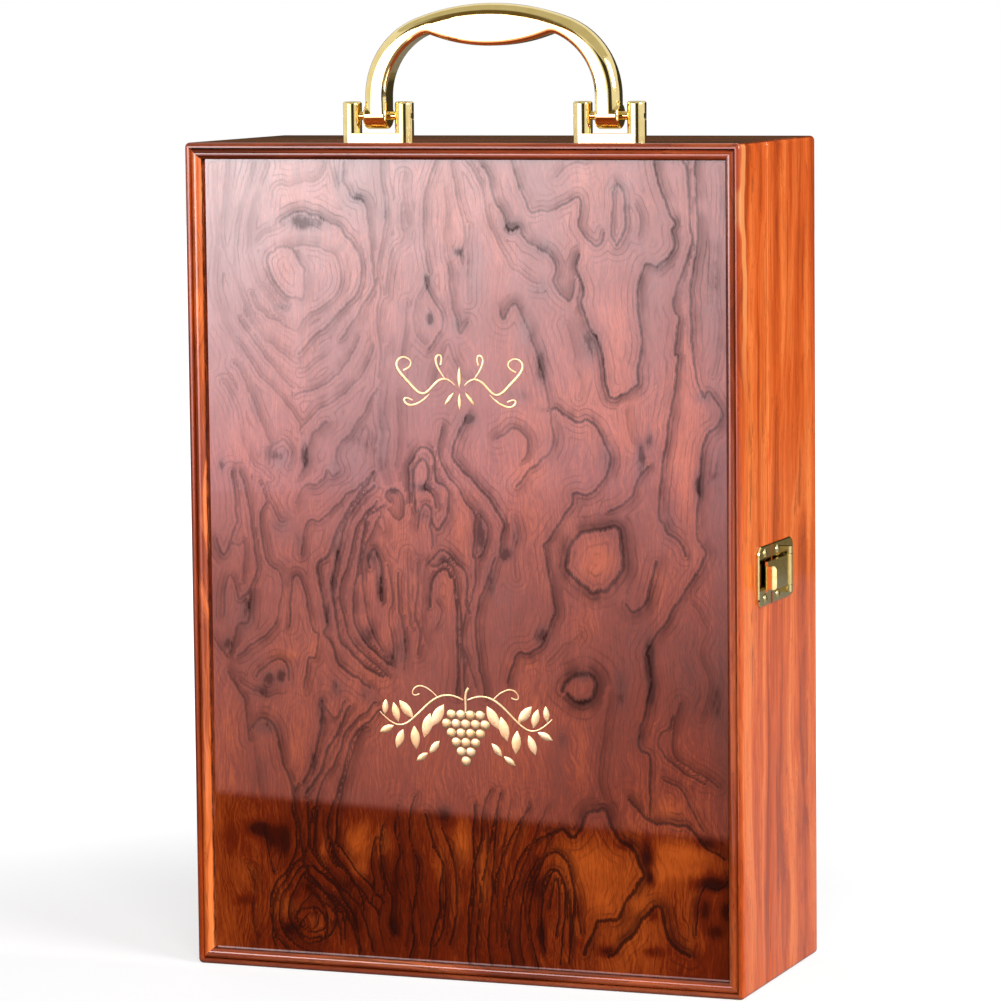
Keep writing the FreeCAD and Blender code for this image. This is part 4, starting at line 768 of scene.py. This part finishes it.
finish_foil("foil_grapes", bunch)
for pattern in (leaf, grape):
    bpy.data.objects.remove(pattern)

# Lining and tray: a board behind the panel and a block with two bottle-shaped troughs, both covered with flock.
# The nap is short, dark wine-red and a little streaky, and it rounds off every edge that it covers.
wine_flock, tree, shader = new_finish("wine_flock")
place = own_place(tree)
nap = cloud(place, 2600.0, 2, 0.6)
brushed = drawn_cloud(place, 60, 18, 3, 0.55)
pile = weigh(nap, 0.45, times(brushed, 0.55))
wire(shader, Roughness=spread(nap, 0.3, 0.7, 0.85, 1.0), Specular_IOR_Level=0.15, Sheen_Weight=0.5,
     Base_Color=shade_ramp(pile, (0.3, (0.085, 0.006, 0.012)), (0.52, (0.16, 0.013, 0.024)),
                           (0.72, (0.25, 0.026, 0.042))),
     Sheen_Roughness=0.4, Sheen_Tint=(0.9, 0.35, 0.4), Normal=relief(pile, 0.6, 0.0003))

for node, name, body, edge in (("lid_lining", "flocked_lining", "lid", 0.0012),
                               ("bottle_tray", "flocked_tray", "case", 0.0018)):
    covered = bpy.data.objects.new(name, boards[node].data.copy())
    bpy.context.scene.collection.objects.link(covered)
    select_only(covered)
    edit_mesh()
    bpy.ops.mesh.remove_doubles(threshold=0.00001)
    bpy.ops.mesh.dissolve_limited(angle_limit=math.radians(0.5))
    bpy.ops.object.mode_set(mode="OBJECT")
    rounding = covered.modifiers.new("rounded_cover", "BEVEL")
    rounding.width = edge
    rounding.segments = 3
    rounding.limit_method = "ANGLE"
    rounding.angle_limit = math.radians(35)
    bpy.ops.object.modifier_apply(modifier=rounding.name)
    bpy.ops.object.shade_smooth_by_angle(angle=math.radians(32))
    covered.data.materials.clear()
    covered.data.materials.append(wine_flock)
    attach(covered, body)
    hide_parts(node)

# Handle and brackets: cast zinc alloy, polished and plated a pale gold.
# The plating has a faint cloudiness and isn't quite evenly polished.
pale_gold, tree, shader = new_finish("pale_gold")
place = own_place(tree)
wire(shader, Roughness=spread(cloud(place, 420.0, 3), 0.3, 0.7, 0.06, 0.11), Metallic=1.0,
     Base_Color=shade_ramp(cloud(place, 160.0, 3), (0.3, (0.80, 0.62, 0.25)), (0.7, (0.88, 0.72, 0.35))))
dress(pale_gold, "carry_handle", "handle_bracket_left", "handle_bracket_right", "handle_pin_left", "handle_pin_right")

# Bracket bolts: plain steel, turned up into the posts from inside, with lathe marks on their heads.
bolt_steel, tree, shader = new_finish("bolt_steel")
turned = drawn_cloud(own_place(tree), 500, 3000, 3)
wire(shader, Roughness=spread(turned, 0.3, 0.7, 0.28, 0.45), Metallic=1.0,
     Base_Color=shade_ramp(turned, (0.3, (0.36, 0.35, 0.34)), (0.7, (0.56, 0.55, 0.53))))
dress(bolt_steel, "bracket_bolts")

# Hinges: two butt hinges of the same plated metal on the left side, with domed screws.
dress(pale_gold, "hinge_case_leaf_lower", "hinge_case_leaf_upper", "hinge_lid_leaf_lower", "hinge_lid_leaf_upper",
      "hinge_pin_lower", "hinge_pin_upper", "hinge_case_screws", "hinge_lid_screws")

# Latch: plates, hasp, pin and screws of the same metal on the right side.
dress(pale_gold, "latch_base_plate", "latch_catch_plate", "latch_hasp", "latch_pin", "latch_base_plate_screws",
      "latch_catch_plate_screws")

# Stage: a pale floor, a white surround, and cards that only the lacquer and the metal mirror.
# Two lit cards are in front and a dimmer one is above; the others, at the foot, behind and in front, are dark.
bpy.ops.mesh.primitive_plane_add(size=12, location=(0, 0, 0))
floor = bpy.context.object
floor.name = "studio_floor"
finish, tree, shader = new_finish("studio_floor")
seen = put(tree, "ShaderNodeLightPath").outputs
far = reckon_vector("LENGTH", own_place(tree))
white = times(seen["Is Camera Ray"], spread(far, 0.2, 0.6, 0.66, 1.0))
wire(shader, Base_Color=(0.28, 0.28, 0.28), Roughness=0.9, Emission_Color=(1, 1, 1), Emission_Strength=white)
floor.data.materials.append(finish)


def studio_card(name, place, tilt, turn, width, height, colour=(0.055, 0.047, 0.028)):
    """A glowing card that only mirrors see; its own X runs along its width and Y along its height."""
    bpy.ops.mesh.primitive_plane_add(size=1, location=place, rotation=(math.radians(tilt), 0, math.radians(turn)))
    card = bpy.context.object
    card.name = name
    card.scale = (width, height, 1)
    finish, tree, shader = new_finish(name)
    wire(shader, Base_Color=(0, 0, 0), Specular_IOR_Level=0.0, Emission_Color=colour, Emission_Strength=1.0)
    card.data.materials.append(finish)
    card.visible_camera = card.visible_diffuse = card.visible_shadow = False
    return shader, axes_of(own_place(tree))


facing = 159.1
shader, own = studio_card("front_softbox", (-0.854, -1.814, 0.375), 90, facing, 1.3, 0.75)
level = slide(own["Y"], -0.5, -0.14)
toward_left = slide(own["X"], -0.26, 0.03)
high = blend_colour(toward_left, (1.0, 0.72, 0.74), (1.0, 0.90, 0.93))
glow = times(slide(level, 0.0, 1.0, 5.0, 9.1), slide(own["X"], -0.26, 0.03, 0.67, 1.0))
wire(shader, Emission_Color=blend_colour(level, (1.0, 0.53, 0.56), high), Emission_Strength=glow)

# The lit floor is rosy, brightest far out and dimmer towards its right, where it ends in a slanting pale edge.
shader, own = studio_card("front_floor", (-0.306, -1.261, 0.002), 0, 190.1, 2.4, 1.65)
rosy = shade_ramp(slide(own["Y"], -0.5, 0.4), (0.0, (1.0, 0.39, 0.32)), (1.0, (1.0, 0.52, 0.54)))
level = slide(own["Y"], -0.5, 0.3)
askew = weigh(own["Y"], -0.421, own["X"])
dim = times(spread(askew, 0.02, 0.09, 0.5, 0.0), reckon("SUBTRACT", 1.0, level))
dim = weigh(slide(own["X"], 0.144, 0.279, 0.33, 0.0), level, dim)
glow = times(weigh(level, 3.35, 1.65), spread(own["Y"], -0.5, -0.484), reckon("SUBTRACT", 1.0, dim))
edge = weigh(own["Y"], -0.369, own["X"])
beside = slide(edge, -0.0145, -0.0135)
outside = times(slide(edge, -0.034, -0.032, 0.3, 1.8), reckon("SUBTRACT", 1.0, beside))
glow = reckon("ADD", times(glow, beside), outside)
wire(shader, Emission_Color=blend_colour(beside, (1.0, 0.98, 1.0), rosy), Emission_Strength=glow)

studio_card("front_mat", (-0.2, -0.33, 0.0015), 0, 0, 1.6, 0.54, (0.004, 0.004, 0.004))
shader, own = studio_card("rear_flag", (0.25, 1.3, 0.45), 90, 0, 3.5, 0.9)
wire(shader, Emission_Strength=spread(own["Y"], -0.45, -0.35, 3.2, 1.0))
umber = (0.15, 0.105, 0.04)
shader, own = studio_card("ceiling", (0, -0.75, 1.5), 0, 0, 3.0, 2.5)
off = reckon("ABSOLUTE", reckon("ADD", own["X"], 0.22))
shaded = times(spread(off, 0.1, 0.2, 1.0, 0.0), spread(own["Y"], -0.16, 0.02, 1.0, 0.0))
wire(shader, Emission_Color=blend_colour(shaded, (0.62, 0.60, 0.50), umber))
studio_card("front_flag", (-0.75, -1.9, 1.12), 90, facing, 1.3, 0.76, umber)
studio_card("camera_flag", (0.93, -2.43, 0.75), 90, 200.9, 1.5, 1.5)

for name, spot, target, size, power in (
    ("key_lamp", (1.0, -2.1, 1.3), (0, 0, 0.2), 1.0, 58),
    ("side_lamp", (2.2, -0.9, 1.2), (0, 0, 0.18), 1.1, 72),
    ("rear_lamp", (-1.6, 1.6, 1.0), (0, 0, 0.2), 1.2, 11),
):
    lamp = bpy.data.lights.new(name, "AREA")
    lamp.size = size
    lamp.energy = power
    holder = bpy.data.objects.new(name, lamp)
    holder.location = spot
    holder.rotation_euler = (Vector(target) - Vector(spot)).to_track_quat("-Z", "Y").to_euler()
    holder.visible_glossy = name == "side_lamp"
    bpy.context.scene.collection.objects.link(holder)

world = bpy.data.worlds.new("studio_world")
bpy.context.scene.world = world
world.use_nodes = True
tree = world.node_tree
seen = put(tree, "ShaderNodeLightPath").outputs
mirrored = reckon("MAXIMUM", seen["Is Glossy Ray"], seen["Is Transmission Ray"])
bright = reckon("MAXIMUM", seen["Is Camera Ray"], mirrored)
wire(tree.nodes["Background"], Color=(1, 1, 1), Strength=slide(bright, 0.0, 1.0, 0.3, 1.0))

# Camera: where the photographer stood, a little above the box and to its right, with a long lens.
azimuth, elevation, roll = (math.radians(angle) for angle in (20.936, 6.132, -0.593))
stand, focal_length, film_width = (0.70224, -1.83955, 0.40864), 167.94, 36
back_axis = Vector((math.sin(azimuth) * math.cos(elevation), -math.cos(azimuth) * math.cos(elevation),
                    math.sin(elevation)))
right_axis = Vector((math.cos(azimuth), math.sin(azimuth), 0))
up_axis = back_axis.cross(right_axis)
tilted_right = right_axis * math.cos(roll) + up_axis * math.sin(roll)
tilted_up = up_axis * math.cos(roll) - right_axis * math.sin(roll)
lens = bpy.data.cameras.new("photo_camera")
lens.sensor_width = film_width
lens.lens = focal_length
camera = bpy.data.objects.new("photo_camera", lens)
turn = Matrix((tilted_right, tilted_up, back_axis)).transposed().to_4x4()
camera.matrix_world = Matrix.Translation(stand) @ turn
bpy.context.scene.collection.objects.link(camera)
bpy.context.scene.camera = camera
bpy.context.scene.view_settings.view_transform = "Standard"
